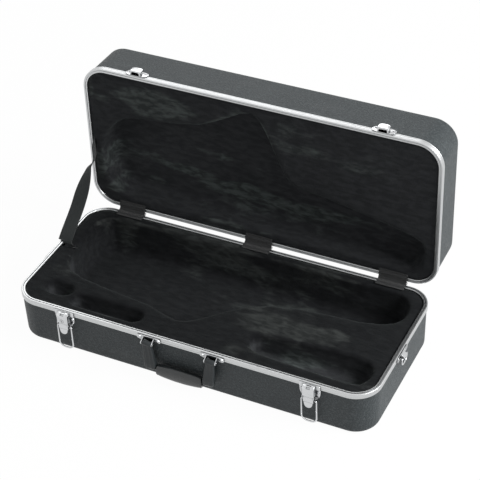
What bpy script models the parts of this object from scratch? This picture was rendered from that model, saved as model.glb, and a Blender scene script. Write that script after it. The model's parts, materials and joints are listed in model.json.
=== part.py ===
"""Alto saxophone case: two moulded plastic trays with aluminium valances, three hinges, two draw latches, a carrying
handle, shoulder strap rings, a lid stay strap and plush lined foam inserts. Metres, +Z up.

The origin is the centre of the case's underside. +X runs along the case, left to right as seen from the front, and the
front, with the latches and the handle, faces -Y. The lid is modelled shut and turned open about its hinge pins.
"""

import math

import bmesh
import bpy
from mathutils import Matrix, Vector

# Overall size, over the valances
CASE_LENGTH = 0.650
CASE_WIDTH = 0.282
BASE_DEPTH = 0.087
LID_DEPTH = 0.086
CORNER_RADIUS = 0.044
CORNER_STEPS = 6

# Fits
CLEAR = 0.0003
PARTING_GAP = 0.0004
HOLE_CLEAR = 0.0003
CUT_PAST = 0.002

# Moulded trays
SHELL_WALL = 0.003
SHELL_DRAFT = 0.0015
EDGE_RADIUS = 0.009
EDGE_STEPS = 4

# Aluminium valances
VALANCE_WALL = 0.0012
VALANCE_HEIGHT = 0.009
VALANCE_WIDTH = 0.007
VALANCE_CAP = 0.0026
VALANCE_INNER = 0.0038
VALANCE_EASE = 0.0008
GROOVE_PLACE = 0.0035
GROOVE_WIDTH = 0.0018
GROOVE_DEPTH = 0.0012
TONGUE_WIDTH = 0.0008
TONGUE_HEIGHT = 0.0009

# Foam inserts and plush
FOAM_GAP = 0.0028
LINING_BELOW_RIM = 0.0025
LINING_THICKNESS = 0.0024
POCKET_LIP = 0.0025
POCKET_LIP_DEPTH = 0.005
POCKET_DRAFT = 0.003
MAIN_POCKET_DEPTH = 0.0695
MAIN_POCKET_FILLET = 0.014
SMALL_POCKET_FILLET = 0.006
MOUTHPIECE_POCKET_DEPTH = 0.022
NECK_POCKET_DEPTH = 0.030
ACCESSORY_POCKET_DEPTH = 0.034
LID_POCKET_DEPTH = 0.042

# Hinges
HINGE_OFFSET = 0.004
HINGE_FROM_END = 0.077
HINGE_LENGTH = 0.050
HINGE_LEAF_HEIGHT = 0.024
HINGE_SHEET = 0.0012
HINGE_PIN_RADIUS = 0.0012
HINGE_KNUCKLE = 0.018
HINGE_RIVET_SPACING = 0.034
HINGE_RIVET_DROP = 0.017
LID_OPEN = math.radians(90.5)

# Rivets
RIVET_RADIUS = 0.0015
RIVET_HEAD_RADIUS = 0.0029
RIVET_HEAD = 0.0013
RIVET_TAIL_RADIUS = 0.0023
RIVET_TAIL = 0.0012
RIVET_SIDES = 8

# Draw latches; drops are below the parting plane and rises above it
LATCH_FROM_END = 0.103
PLATE_SHEET = 0.0012
LATCH_TOP_DROP = 0.0015
LATCH_PLATE_HALF = 0.018
LATCH_FOOT_DROP = 0.0355
HOUSING_HALF = 0.0103
HOUSING_OUT = 0.0106
HOUSING_CLEAR = 0.0004
LATCH_RIVET_SPACING = 0.028
LATCH_RIVET_DROP = 0.016
LEVER_PIVOT_OUT = 0.0053
LEVER_PIVOT_DROP = 0.024
BAIL_PIVOT_OUT = 0.0050
BAIL_PIVOT_DROP = 0.031
LEVER_SHEET = 0.0013
LEVER_FACE_OUT = 0.0071
LEVER_ABOVE_PIVOT = 0.0024
LEVER_BELOW_PIVOT = 0.0205
LATCH_PIN_RADIUS = 0.0013
BAIL_WIRE = 0.0014
BAIL_LENGTH = 0.0462
BAIL_HALF = 0.013
BAIL_CORNER = 0.0100
LOCK_DROP = 0.0165
LOCK_RADIUS = 0.0032

# Keepers on the lid
KEEPER_HALF = 0.020
KEEPER_FOOT_RISE = 0.001
KEEPER_TOP_RISE = 0.019
KEEPER_RIVET_SPACING = 0.030
KEEPER_RIVET_RISE = 0.0143
KEEPER_LIP = 0.0009
HOOK_HALF = 0.0096
HOOK_LEG = 0.0022

# Handle, a little left of the middle
HANDLE_PLACE = -0.0055
HANDLE_HALF_SPAN = 0.0573
BRACKET_HALF = 0.022
BRACKET_HALF_HEIGHT = 0.0046
BRACKET_DROP = 0.0068
BRACKET_RIVET_SPACING = 0.034
HANDLE_EAR_GAP = 0.018
HANDLE_EAR_RADIUS = 0.0034
HANDLE_PIN_OUT = 0.0082
HANDLE_PIN_DROP = 0.0115
HANDLE_PIN_RADIUS = 0.0016
HANDLE_LOOP_RADIUS = 0.0042
HANDLE_LOOP_HALF = 0.0082
HANDLE_STRAP_HALF = 0.0105
HANDLE_STRAP_THICK = 0.0135
HANDLE_STRAP_LENGTH = 0.050
HANDLE_STRAP_LEAN = 0.0053
GRIP_HEIGHT = 0.0255
GRIP_THICKNESS = 0.0155
GRIP_SAG = 0.001
GRIP_TAPER = 0.24
GRIP_BELOW_PIN = 0.0508

# Shoulder strap rings on the ends
RING_Y = -0.014
RING_BRACKET_HALF = 0.022
RING_RIVET_SPACING = 0.034
RING_WIRE = 0.0014
RING_OUT = 0.0048
RING_PIVOT_DROP = 0.0105
RING_HALF = 0.0105
RING_DROP = 0.0125
RING_KNUCKLE_HALF = 0.006

# Stay strap, webbing at the left end
STRAP_WIDTH = 0.025
STRAP_THICKNESS = 0.0015
STRAP_INSET = 0.0088
STRAP_BASE_PLACE = 0.0180
STRAP_BASE_DROP = 0.0153
STRAP_LID_PLACE = 0.0150
STRAP_LID_RISE = 0.0126
STRAP_END = 0.009
STRAP_TWIST = math.radians(85.0)
STRAP_TWIST_RUN = (0.019, 0.040)
STRAP_UNTWIST_START = 0.062
STRAP_UNTWIST_LEFT = 0.012
STRAP_LEAN_RUN = (0.036, 0.056)
STRAP_LEAN_LEFT = (0.034, 0.054)
STRAP_OVERHANG = 0.0058
STRAP_SLOT_DEPTH = 0.0042
STRAP_SLOT_EXTRA = 0.0015
STRAP_SLOT_REACH = 0.05

# Fabric hinge covers
COVER_WIDTH = 0.050
COVER_THICKNESS = 0.0009
COVER_TUCK = 0.007

HALF_LENGTH = CASE_LENGTH / 2
HALF_WIDTH = CASE_WIDTH / 2
PARTING_Z = BASE_DEPTH
CASE_TOP = BASE_DEPTH + LID_DEPTH
HINGE_AXIS = Vector((0, HALF_WIDTH + HINGE_OFFSET, PARTING_Z))
SHELL_INSET = VALANCE_WALL + CLEAR
SHELL_EDGE = PARTING_GAP / 2 + VALANCE_CAP + CLEAR
SHELL_INNER = SHELL_INSET + SHELL_WALL
FOAM_INSET = SHELL_INNER + FOAM_GAP
SHELL_STEP = SHELL_INSET
HINGE_SPACING = HALF_LENGTH - HINGE_FROM_END
LATCH_SPACING = HALF_LENGTH - LATCH_FROM_END
LATCH_TOP = PARTING_Z - LATCH_TOP_DROP
LATCH_PLATE_FOOT = PARTING_Z - LATCH_FOOT_DROP
LATCH_RIVET_Z = PARTING_Z - LATCH_RIVET_DROP
LEVER_PIVOT_Z = PARTING_Z - LEVER_PIVOT_DROP
BAIL_PIVOT_Z = PARTING_Z - BAIL_PIVOT_DROP
LEVER_TOP = LEVER_PIVOT_Z + LEVER_ABOVE_PIVOT
LEVER_TIP = LEVER_PIVOT_Z - LEVER_BELOW_PIVOT
# The lifted lever's face passes under the housing
HOUSING_FOOT = LEVER_PIVOT_Z + LEVER_FACE_OUT + LEVER_SHEET - LEVER_PIVOT_OUT + HOUSING_CLEAR
LOCK_Z = PARTING_Z - LOCK_DROP
KEEPER_FOOT = PARTING_Z + KEEPER_FOOT_RISE
KEEPER_TOP = PARTING_Z + KEEPER_TOP_RISE
KEEPER_RIVET_Z = PARTING_Z + KEEPER_RIVET_RISE
BRACKET_Z = PARTING_Z - BRACKET_DROP
HANDLE_PIN_Z = PARTING_Z - HANDLE_PIN_DROP
HANDLE_STRAP_FOOT = HANDLE_PIN_Z - HANDLE_STRAP_LENGTH
GRIP_Z = HANDLE_PIN_Z - GRIP_BELOW_PIN
RING_PIVOT_Z = PARTING_Z - RING_PIVOT_DROP
STRAP_BASE_ANCHOR = (STRAP_BASE_PLACE, PARTING_Z - STRAP_BASE_DROP)
STRAP_LID_ANCHOR = (STRAP_LID_PLACE, PARTING_Z + STRAP_LID_RISE)
MATERIALS = {
    "abs": ((0.055, 0.060, 0.060), 0.55, 0.0),
    "aluminium": ((0.72, 0.73, 0.74), 0.35, 1.0),
    "chrome": ((0.80, 0.80, 0.82), 0.12, 1.0),
    "steel": ((0.55, 0.55, 0.57), 0.30, 1.0),
    "plush": ((0.012, 0.013, 0.014), 0.95, 0.0),
    "foam": ((0.75, 0.75, 0.72), 0.90, 0.0),
    "webbing": ((0.03, 0.034, 0.034), 0.85, 0.0),
    "leatherette": ((0.03, 0.032, 0.033), 0.45, 0.0),
    "cover_cloth": ((0.02, 0.021, 0.022), 0.90, 0.0),
}


class Body:
    """A rigid body: its empty stands on the joint axis, and its pieces are meshed in the shut case's own frame."""

    def __init__(self, name, origin, parent=None):
        self.origin = Vector(origin)
        self.empty = bpy.data.objects.new(name, None)
        self.empty.empty_display_size = 0.01
        bpy.context.scene.collection.objects.link(self.empty)
        self.empty.location = self.origin
        if parent:
            self.empty.parent = parent.empty
            self.empty.location = self.origin - parent.origin


def material(slot):
    found = bpy.data.materials.get(slot)
    if found:
        return found
    colour, roughness, metallic = MATERIALS[slot]
    made = bpy.data.materials.new(slot)
    made.use_nodes = True
    shader = made.node_tree.nodes["Principled BSDF"]
    shader.inputs["Base Color"].default_value = (*colour, 1)
    shader.inputs["Roughness"].default_value = roughness
    shader.inputs["Metallic"].default_value = metallic
    made.diffuse_color = (*colour, 1)
    return made


def place(name, bm, slot, body):
    """Turns a bmesh in the shut case's frame into an object on its body."""
    bmesh.ops.recalc_face_normals(bm, faces=bm.faces)
    bm.transform(Matrix.Translation(-body.origin))
    mesh = bpy.data.meshes.new(name)
    bm.to_mesh(mesh)
    bm.free()
    mesh.shade_smooth()
    mesh.set_sharp_from_angle(angle=math.radians(35))
    made = bpy.data.objects.new(name, mesh)
    if slot:
        mesh.materials.append(material(slot))
    bpy.context.scene.collection.objects.link(made)
    made.parent = body.empty
    return made


def boolean(target, name, bm, body, operation):
    """Cuts or joins one hidden tool body."""
    tool = place(name, bm, None, body)
    tool.hide_render = True
    tool.hide_set(True)
    tool.display_type = "WIRE"
    modifier = target.modifiers.new(name, "BOOLEAN")
    modifier.operation = operation
    modifier.object = tool
    modifier.solver = "EXACT"


def cut(target, name, bm, body):
    boolean(target, name, bm, body, "DIFFERENCE")


def unite(target, name, bm, body):
    boolean(target, name, bm, body, "UNION")


def loft(bm, rings, closed=False):
    """Skins rings of equal count. An open loft gets a face at each end."""
    rows = [[bm.verts.new(p) for p in ring] for ring in rings]
    pairs = list(zip(rows, rows[1:]))
    if closed:
        pairs.append((rows[-1], rows[0]))
    else:
        bm.faces.new(rows[0])
        bm.faces.new(rows[-1])
    for first, second in pairs:
        for i in range(len(first)):
            j = (i + 1) % len(first)
            bm.faces.new((first[i], first[j], second[j], second[i]))


def prism(points, low, high, axis):
    """Extrudes an outline from low to high along X, Y or Z. Its points are the other two coordinates, in order."""
    bm = bmesh.new()
    add_prism(bm, points, low, high, axis)
    return bm


def add_prism(bm, points, low, high, axis):
    def corner(p, along):
        found = list(p)
        found.insert("XYZ".index(axis), along)
        return Vector(found)

    loft(bm, [[corner(p, along) for p in points] for along in (low, high)])


def add_lathe(bm, profile, centre, direction, sides):
    """Turns (radius, place along the axis) pairs about an axis through centre."""
    turn = Vector(direction).to_track_quat("Z", "Y").to_matrix()
    rings = []
    for radius, along in profile:
        ring = []
        for i in range(sides):
            angle = 2 * math.pi * (i + 0.5) / sides
            ring.append(Vector(centre) + turn @ Vector((radius * math.cos(angle), radius * math.sin(angle), along)))
        rings.append(ring)
    loft(bm, rings)


def lathe(profile, centre, direction, sides):
    bm = bmesh.new()
    add_lathe(bm, profile, centre, direction, sides)
    return bm


def arc(cx, cy, radius, start, end, steps):
    """Points on a circle from one angle to another, in degrees."""
    angles = [math.radians(start + (end - start) * i / steps) for i in range(steps + 1)]
    return [(cx + radius * math.cos(a), cy + radius * math.sin(a)) for a in angles]


def hull(points):
    """The convex outline round some points."""
    ordered = sorted(set(points))

    def half(run):
        found = []
        for p in run:
            while len(found) > 1:
                (ax, ay), (bx, by) = found[-2], found[-1]
                if (bx - ax) * (p[1] - ay) - (by - ay) * (p[0] - ax) > 0:
                    break
                found.pop()
            found.append(p)
        return found

    return half(ordered)[:-1] + half(ordered[::-1])[:-1]


def wire(path, radius, sides, closed=False):
    """A round wire along a path that lies in one plane of constant Y."""
    bm = bmesh.new()
    rings = []
    count = len(path)
    for i, point in enumerate(path):
        before = path[i - 1] if i or closed else point
        after = path[(i + 1) % count] if i + 1 < count or closed else point
        along = (after - before).normalized()
        side = along.cross(Vector((0, 1, 0)))
        turns = [2 * math.pi * (k + 0.5) / sides for k in range(sides)]
        rings.append([point + radius * (math.cos(t) * side + math.sin(t) * Vector((0, 1, 0))) for t in turns])
    loft(bm, rings, closed)
    return bm


def rounded_ring(inset, z):
    """The case's outline in plan, drawn in by inset."""
    radius = CORNER_RADIUS - inset
    x = HALF_LENGTH - CORNER_RADIUS
    y = HALF_WIDTH - CORNER_RADIUS
    ring = []
    for cx, cy, start in ((x, y, 0), (-x, y, 90), (-x, -y, 180), (x, -y, 270)):
        ring += [Vector((px, py, z)) for px, py in arc(cx, cy, radius, start, start + 90, CORNER_STEPS)]
    return ring


def half_z(is_lid, height):
    """A height over a tray's outer floor, as a height in the shut case."""
    return CASE_TOP - height if is_lid else height


def face_z(is_lid, depth):
    """A depth below the parting plane into either half, as a height in the shut case."""
    return PARTING_Z + depth if is_lid else PARTING_Z - depth


def draft_at(is_lid, height):
    """How far the draft has drawn the walls in at a height over a tray's outer floor."""
    return SHELL_DRAFT * (1 - height / (LID_DEPTH if is_lid else BASE_DEPTH))


def tray_rings(is_lid, inset, floor, radius, edge_depth):
    """Rings of a drafted tray wall, from its edge near the parting plane to its floor."""
    depth = LID_DEPTH if is_lid else BASE_DEPTH
    start = floor + radius
    rings = [rounded_ring(inset + draft_at(is_lid, depth - edge_depth), face_z(is_lid, edge_depth))]
    wall = inset + draft_at(is_lid, start)
    for u, h in arc(wall + radius, start, radius, 180, 270, EDGE_STEPS):
        rings.append(rounded_ring(u, half_z(is_lid, h)))
    return rings


def tray(is_lid):
    """A moulded tray: drafted walls, rounded floor edge, even wall."""
    bm = bmesh.new()
    outer = tray_rings(is_lid, SHELL_INSET, 0, EDGE_RADIUS, SHELL_EDGE)
    inner = tray_rings(is_lid, SHELL_INNER, SHELL_WALL, EDGE_RADIUS - SHELL_WALL, SHELL_EDGE)
    loft(bm, outer[::-1] + inner)
    return bm


def valance(is_lid):
    """The extruded edge: outer flange, cap with a tongue or a groove, and a short inner flange."""
    half = (TONGUE_WIDTH if is_lid else GROOVE_WIDTH) / 2
    seam = -TONGUE_HEIGHT if is_lid else GROOVE_DEPTH
    profile = [
        (0, VALANCE_HEIGHT),
        (0, VALANCE_EASE),
        (VALANCE_EASE, 0),
        (GROOVE_PLACE - half, 0),
        (GROOVE_PLACE - half, seam),
        (GROOVE_PLACE + half, seam),
        (GROOVE_PLACE + half, 0),
        (VALANCE_WIDTH, 0),
        (VALANCE_WIDTH, VALANCE_INNER),
        (VALANCE_WIDTH - VALANCE_WALL, VALANCE_INNER),
        (VALANCE_WIDTH - VALANCE_WALL, VALANCE_CAP),
        (VALANCE_WALL, VALANCE_CAP),
        (VALANCE_WALL, VALANCE_HEIGHT),
    ]
    bm = bmesh.new()
    loft(bm, [rounded_ring(u, face_z(is_lid, PARTING_GAP / 2 + d)) for u, d in profile], closed=True)
    return bm


def smooth_outline(points, samples=2):
    """A closed curve through the points of a pocket's outline."""
    count = len(points)
    found = []
    for i in range(count):
        p0, p1, p2, p3 = (Vector(points[(i + k - 1) % count]) for k in range(4))
        for s in range(samples):
            t = s / samples
            found.append(
                0.5 * ((2 * p1) + (p2 - p0) * t + (2 * p0 - 5 * p1 + 4 * p2 - p3) * t * t
                       + (3 * p1 - p0 - 3 * p2 + p3) * t ** 3)
            )
    return found


def obround(cx, cy, half_length, radius, steps=6):
    x = half_length - radius
    points = arc(cx + x, cy, radius, -90, 90, steps) + arc(cx - x, cy, radius, 90, 270, steps)
    return [Vector(p) for p in points]


def inset_outline(outline, amount):
    """The outline moved inwards along its own normals; it runs anticlockwise."""
    count = len(outline)
    found = []
    for i, point in enumerate(outline):
        along = (outline[(i + 1) % count] - outline[i - 1]).normalized()
        found.append(point + amount * Vector((-along.y, along.x)))
    return found


def add_pocket(bm, is_lid, outline, depth, fillet, grow, top):
    """A pocket's body, from top over the plush's face down to its filleted floor, all round larger by grow."""
    face = PARTING_GAP / 2 + LINING_BELOW_RIM
    steps = [(-POCKET_LIP, -top), (-POCKET_LIP, 0)] if top > 0 else [(-POCKET_LIP * (1 + top / POCKET_LIP_DEPTH), -top)]
    steps += [
        (0, POCKET_LIP_DEPTH),
        (POCKET_DRAFT, depth - fillet + grow),
        (POCKET_DRAFT + 0.3 * fillet, depth - 0.3 * fillet + grow),
        (POCKET_DRAFT + fillet, depth + grow),
    ]
    rings = []
    for inset, down in steps:
        flat = inset_outline(outline, inset - grow)
        rings.append([Vector((p.x, p.y, face_z(is_lid, face + down))) for p in flat])
    loft(bm, rings)


# The large pockets' outlines, as shares of the case's half length and half width
MAIN_POCKET = [
    (-0.892, 0.000), (-0.825, -0.270), (-0.615, -0.390), (-0.308, -0.475), (-0.129, -0.596),
    (-0.015, -0.440), (0.154, -0.043), (0.400, 0.149), (0.723, 0.220), (0.883, 0.340), (0.914, 0.567),
    (0.871, 0.794), (0.723, 0.844), (0.000, 0.844), (-0.723, 0.844), (-0.871, 0.766), (-0.914, 0.426),
]
ACCESSORY_POCKET = [
    (0.283, -0.596), (0.320, -0.716), (0.462, -0.759), (0.846, -0.794), (0.911, -0.709),
    (0.923, -0.553), (0.874, -0.411), (0.708, -0.397), (0.462, -0.454), (0.320, -0.475),
]
LID_POCKET = [
    (-0.909, 0.008), (-0.828, -0.251), (-0.713, -0.366), (-0.575, -0.395), (-0.328, -0.496), (-0.144, -0.712),
    (-0.029, -0.827), (0.040, -0.633), (0.129, -0.165), (0.208, 0.067), (0.374, 0.117), (0.763, 0.298),
    (0.900, 0.414), (0.916, 0.630), (0.847, 0.819), (0.616, 0.841), (-0.307, 0.841), (-0.768, 0.841),
    (-0.889, 0.681), (-0.927, 0.342),
]
# The small pockets' centres in from the left end and the front, half length and end radius
MOUTHPIECE_POCKET = (0.063, 0.051, 0.024, 0.014)
NECK_POCKET = (0.162, 0.037, 0.066, 0.014)


def pocket_outline(shares):
    return smooth_outline([(x * HALF_LENGTH, y * HALF_WIDTH) for x, y in shares])


def slot_outline(from_end, from_front, half_length, radius):
    return obround(from_end - HALF_LENGTH, from_front - HALF_WIDTH, half_length, radius)


def base_pockets():
    """Outline, depth and fillet of each pocket in the base insert."""
    return [
        (pocket_outline(MAIN_POCKET), MAIN_POCKET_DEPTH, MAIN_POCKET_FILLET),
        (pocket_outline(ACCESSORY_POCKET), ACCESSORY_POCKET_DEPTH, SMALL_POCKET_FILLET),
        (slot_outline(*MOUTHPIECE_POCKET), MOUTHPIECE_POCKET_DEPTH, SMALL_POCKET_FILLET),
        (slot_outline(*NECK_POCKET), NECK_POCKET_DEPTH, SMALL_POCKET_FILLET),
    ]


def lid_pockets():
    return [(pocket_outline(LID_POCKET), LID_POCKET_DEPTH, MAIN_POCKET_FILLET)]


def pocket_tool(is_lid, pockets, grow, top):
    bm = bmesh.new()
    for outline, depth, fillet in pockets:
        add_pocket(bm, is_lid, outline, depth, fillet, grow, top)
    return bm


def add_strap_slot(bm, anchor, direction):
    """The slot beside the end wall that the stay strap's end lies in, along the strap."""
    x = -HALF_LENGTH + FOAM_INSET
    half = STRAP_WIDTH / 2 + STRAP_SLOT_EXTRA
    start = anchor - direction * (STRAP_END + STRAP_SLOT_EXTRA)
    across = Vector((0, -direction.z, direction.y)) * half
    end = anchor + direction * STRAP_SLOT_REACH
    corners = [start - across, end - across, end + across, start + across]
    add_prism(bm, [(p.y, p.z) for p in corners], x - CUT_PAST, x + STRAP_SLOT_DEPTH, "X")


def insert(prefix, is_lid, pockets, body, slot_anchor, slot_direction):
    """The foam block and the plush over it, from one set of pockets."""
    face = PARTING_GAP / 2 + LINING_BELOW_RIM
    under = face + LINING_THICKNESS
    radius = EDGE_RADIUS - SHELL_WALL - FOAM_GAP + CLEAR
    foam = bmesh.new()
    loft(foam, tray_rings(is_lid, FOAM_INSET, SHELL_WALL + CLEAR, radius, under + CLEAR))
    block = place(prefix + "_foam", foam, "foam", body)
    plate = bmesh.new()
    loft(plate, [rounded_ring(FOAM_INSET, face_z(is_lid, d)) for d in (face, under)])
    plush = place(prefix + "_lining", plate, "plush", body)
    cut(block, prefix + "_foam_pockets", pocket_tool(is_lid, pockets, LINING_THICKNESS + CLEAR, CUT_PAST), body)
    unite(plush, prefix + "_plush_cups", pocket_tool(is_lid, pockets, LINING_THICKNESS, -LINING_THICKNESS / 2), body)
    cut(plush, prefix + "_plush_pockets", pocket_tool(is_lid, pockets, 0, CUT_PAST), body)
    for target in (block, plush):
        bm = bmesh.new()
        add_strap_slot(bm, slot_anchor, slot_direction)
        cut(target, target.name + "_strap_slot", bm, body)
    return block, plush


def wall_matrix(wall, along):
    """Carries hardware drawn on a wall, as (along it, -out of it, up), to that wall of the case."""
    turn, place_at = {
        "front": (0, (along, -HALF_WIDTH, 0)),
        "right": (90, (HALF_LENGTH, along, 0)),
        "back": (180, (along, HALF_WIDTH, 0)),
        "left": (-90, (-HALF_LENGTH, along, 0)),
    }[wall]
    return Matrix.Translation(place_at) @ Matrix.Rotation(math.radians(turn), 4, "Z")


def on_wall(bm, wall, along):
    bm.transform(wall_matrix(wall, along))
    return bm


def wall_point(wall, along, out, z):
    return wall_matrix(wall, along) @ Vector((0, -out, z))


def add_rivet(bm, is_lid, wall, along, z, face):
    """A rivet set fast in the plate whose outer face is at face, with its tail closed inside the tray."""
    height = CASE_TOP - z if is_lid else z
    inside = -SHELL_INNER - draft_at(is_lid, height) - CLEAR
    profile = [
        (RIVET_TAIL_RADIUS, inside - RIVET_TAIL),
        (RIVET_TAIL_RADIUS, inside),
        (RIVET_RADIUS, inside),
        (RIVET_RADIUS, face - PLATE_SHEET / 3),
        (RIVET_HEAD_RADIUS, face - PLATE_SHEET / 3),
        (RIVET_HEAD_RADIUS * 0.92, face + RIVET_HEAD * 0.5),
        (RIVET_HEAD_RADIUS * 0.45, face + RIVET_HEAD),
    ]
    outward = wall_matrix(wall, 0).to_3x3() @ Vector((0, -1, 0))
    add_lathe(bm, profile, wall_point(wall, along, 0, z), outward, RIVET_SIDES)


class Half:
    """The base or the lid: its body, its tray, its valance, and the rivet holes still to be drilled."""

    def __init__(self, name, is_lid, body):
        self.name, self.is_lid, self.body = name, is_lid, body
        self.shell = place(name + "_shell", tray(is_lid), "abs", body)
        self.valance = place(name + "_valance", valance(is_lid), "aluminium", body)
        self.holes = []

    def rivet(self, plate, spots, face):
        """Sets rivets at (wall, along, z) in a plate."""
        bm = bmesh.new()
        for spot in spots:
            add_rivet(bm, self.is_lid, *spot, face)
        unite(plate, plate.name + "_rivets", bm, self.body)
        self.holes += spots

    def drill(self):
        """The rivets' holes through the tray, and through the valance where they cross it."""
        rim = VALANCE_HEIGHT + RIVET_RADIUS + HOLE_CLEAR
        for target, reach in ((self.shell, CASE_LENGTH), (self.valance, rim)):
            bm = bmesh.new()
            for wall, along, z in self.holes:
                if abs(z - PARTING_Z) < reach:
                    outward = wall_matrix(wall, 0).to_3x3() @ Vector((0, -1, 0))
                    inside = -SHELL_INNER - SHELL_DRAFT - CUT_PAST
                    bore = [(RIVET_RADIUS + HOLE_CLEAR, inside), (RIVET_RADIUS + HOLE_CLEAR, CUT_PAST)]
                    add_lathe(bm, bore, wall_point(wall, along, 0, z), outward, RIVET_SIDES)
            if bm.verts:
                cut(target, target.name + "_rivet_holes", bm, self.body)
            else:
                bm.free()


def strip(rows, thickness):
    """A pressed sheet from rows of (z, half width, inner face's distance out)."""
    bm = bmesh.new()
    rings = []
    for z, half, out in rows:
        far = out + thickness
        rings.append([Vector(p) for p in ((-half, -out, z), (half, -out, z), (half, -far, z), (-half, -far, z))])
    loft(bm, rings)
    return bm


def hinge_profile(is_lid):
    """The rolled leaf in (y, z): a joggled sheet with its knuckle curled round the pin."""
    t = HINGE_SHEET
    y = HALF_WIDTH + CLEAR + t / 2
    low = y - SHELL_STEP
    middle = HINGE_PIN_RADIUS + HOLE_CLEAR + t / 2
    step = VALANCE_HEIGHT + PARTING_GAP / 2
    path = [
        (low, HINGE_LEAF_HEIGHT),
        (low, step + 0.0022),
        (y, step + 0.0004),
        (y, middle + 0.0014),
    ]
    path += [(HINGE_AXIS.y + py, -pz) for py, pz in arc(0, 0, middle, 180, -110, 12)]
    left, right = [], []
    for i, (py, pz) in enumerate(path):
        ax, az = path[max(i - 1, 0)]
        bx, bz = path[min(i + 1, len(path) - 1)]
        along = Vector((bx - ax, bz - az)).normalized()
        left.append((py - along.y * t / 2, pz + along.x * t / 2))
        right.append((py + along.y * t / 2, pz - along.x * t / 2))
    outline = left + right[::-1]
    return [(py, face_z(is_lid, pz)) for py, pz in outline]


def hinge_leaf(name, is_lid, along, body):
    leaf = place(
        name,
        prism(hinge_profile(is_lid), along - HINGE_LENGTH / 2, along + HINGE_LENGTH / 2, "X"),
        "steel",
        body,
    )
    clear = HINGE_PIN_RADIUS + HOLE_CLEAR + HINGE_SHEET + CLEAR
    half = HINGE_KNUCKLE / 2
    y, z = HINGE_AXIS.y, PARTING_Z
    box = [(y - clear - 0.002, z - clear), (y + clear + 0.002, z - clear), (y + clear + 0.002, z + clear),
           (y - clear - 0.002, z + clear)]
    bm = bmesh.new()
    if is_lid:
        add_prism(bm, box, along - HINGE_LENGTH, along - half + CLEAR, "X")
        add_prism(bm, box, along + half - CLEAR, along + HINGE_LENGTH, "X")
    else:
        add_prism(bm, box, along - half, along + half, "X")
    cut(leaf, name + "_notch", bm, body)
    return leaf


def build_hinges(base, lid):
    for side, along in (("left", -HINGE_SPACING), ("center", 0), ("right", HINGE_SPACING)):
        for half in (base, lid):
            leaf = hinge_leaf(f"hinge_leaf_{half.name}_{side}", half.is_lid, along, half.body)
            z = face_z(half.is_lid, HINGE_RIVET_DROP)
            spots = [("back", along + k * HINGE_RIVET_SPACING / 2, z) for k in (-1, 1)]
            half.rivet(leaf, spots, CLEAR + HINGE_SHEET - SHELL_STEP)
        ends = HINGE_LENGTH / 2 + 0.0008
        pin = lathe([(HINGE_PIN_RADIUS, -ends), (HINGE_PIN_RADIUS, ends)],
                    (along, HINGE_AXIS.y, HINGE_AXIS.z), (1, 0, 0), 10)
        place(f"hinge_pin_{side}", pin, "steel", base.body)


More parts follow.
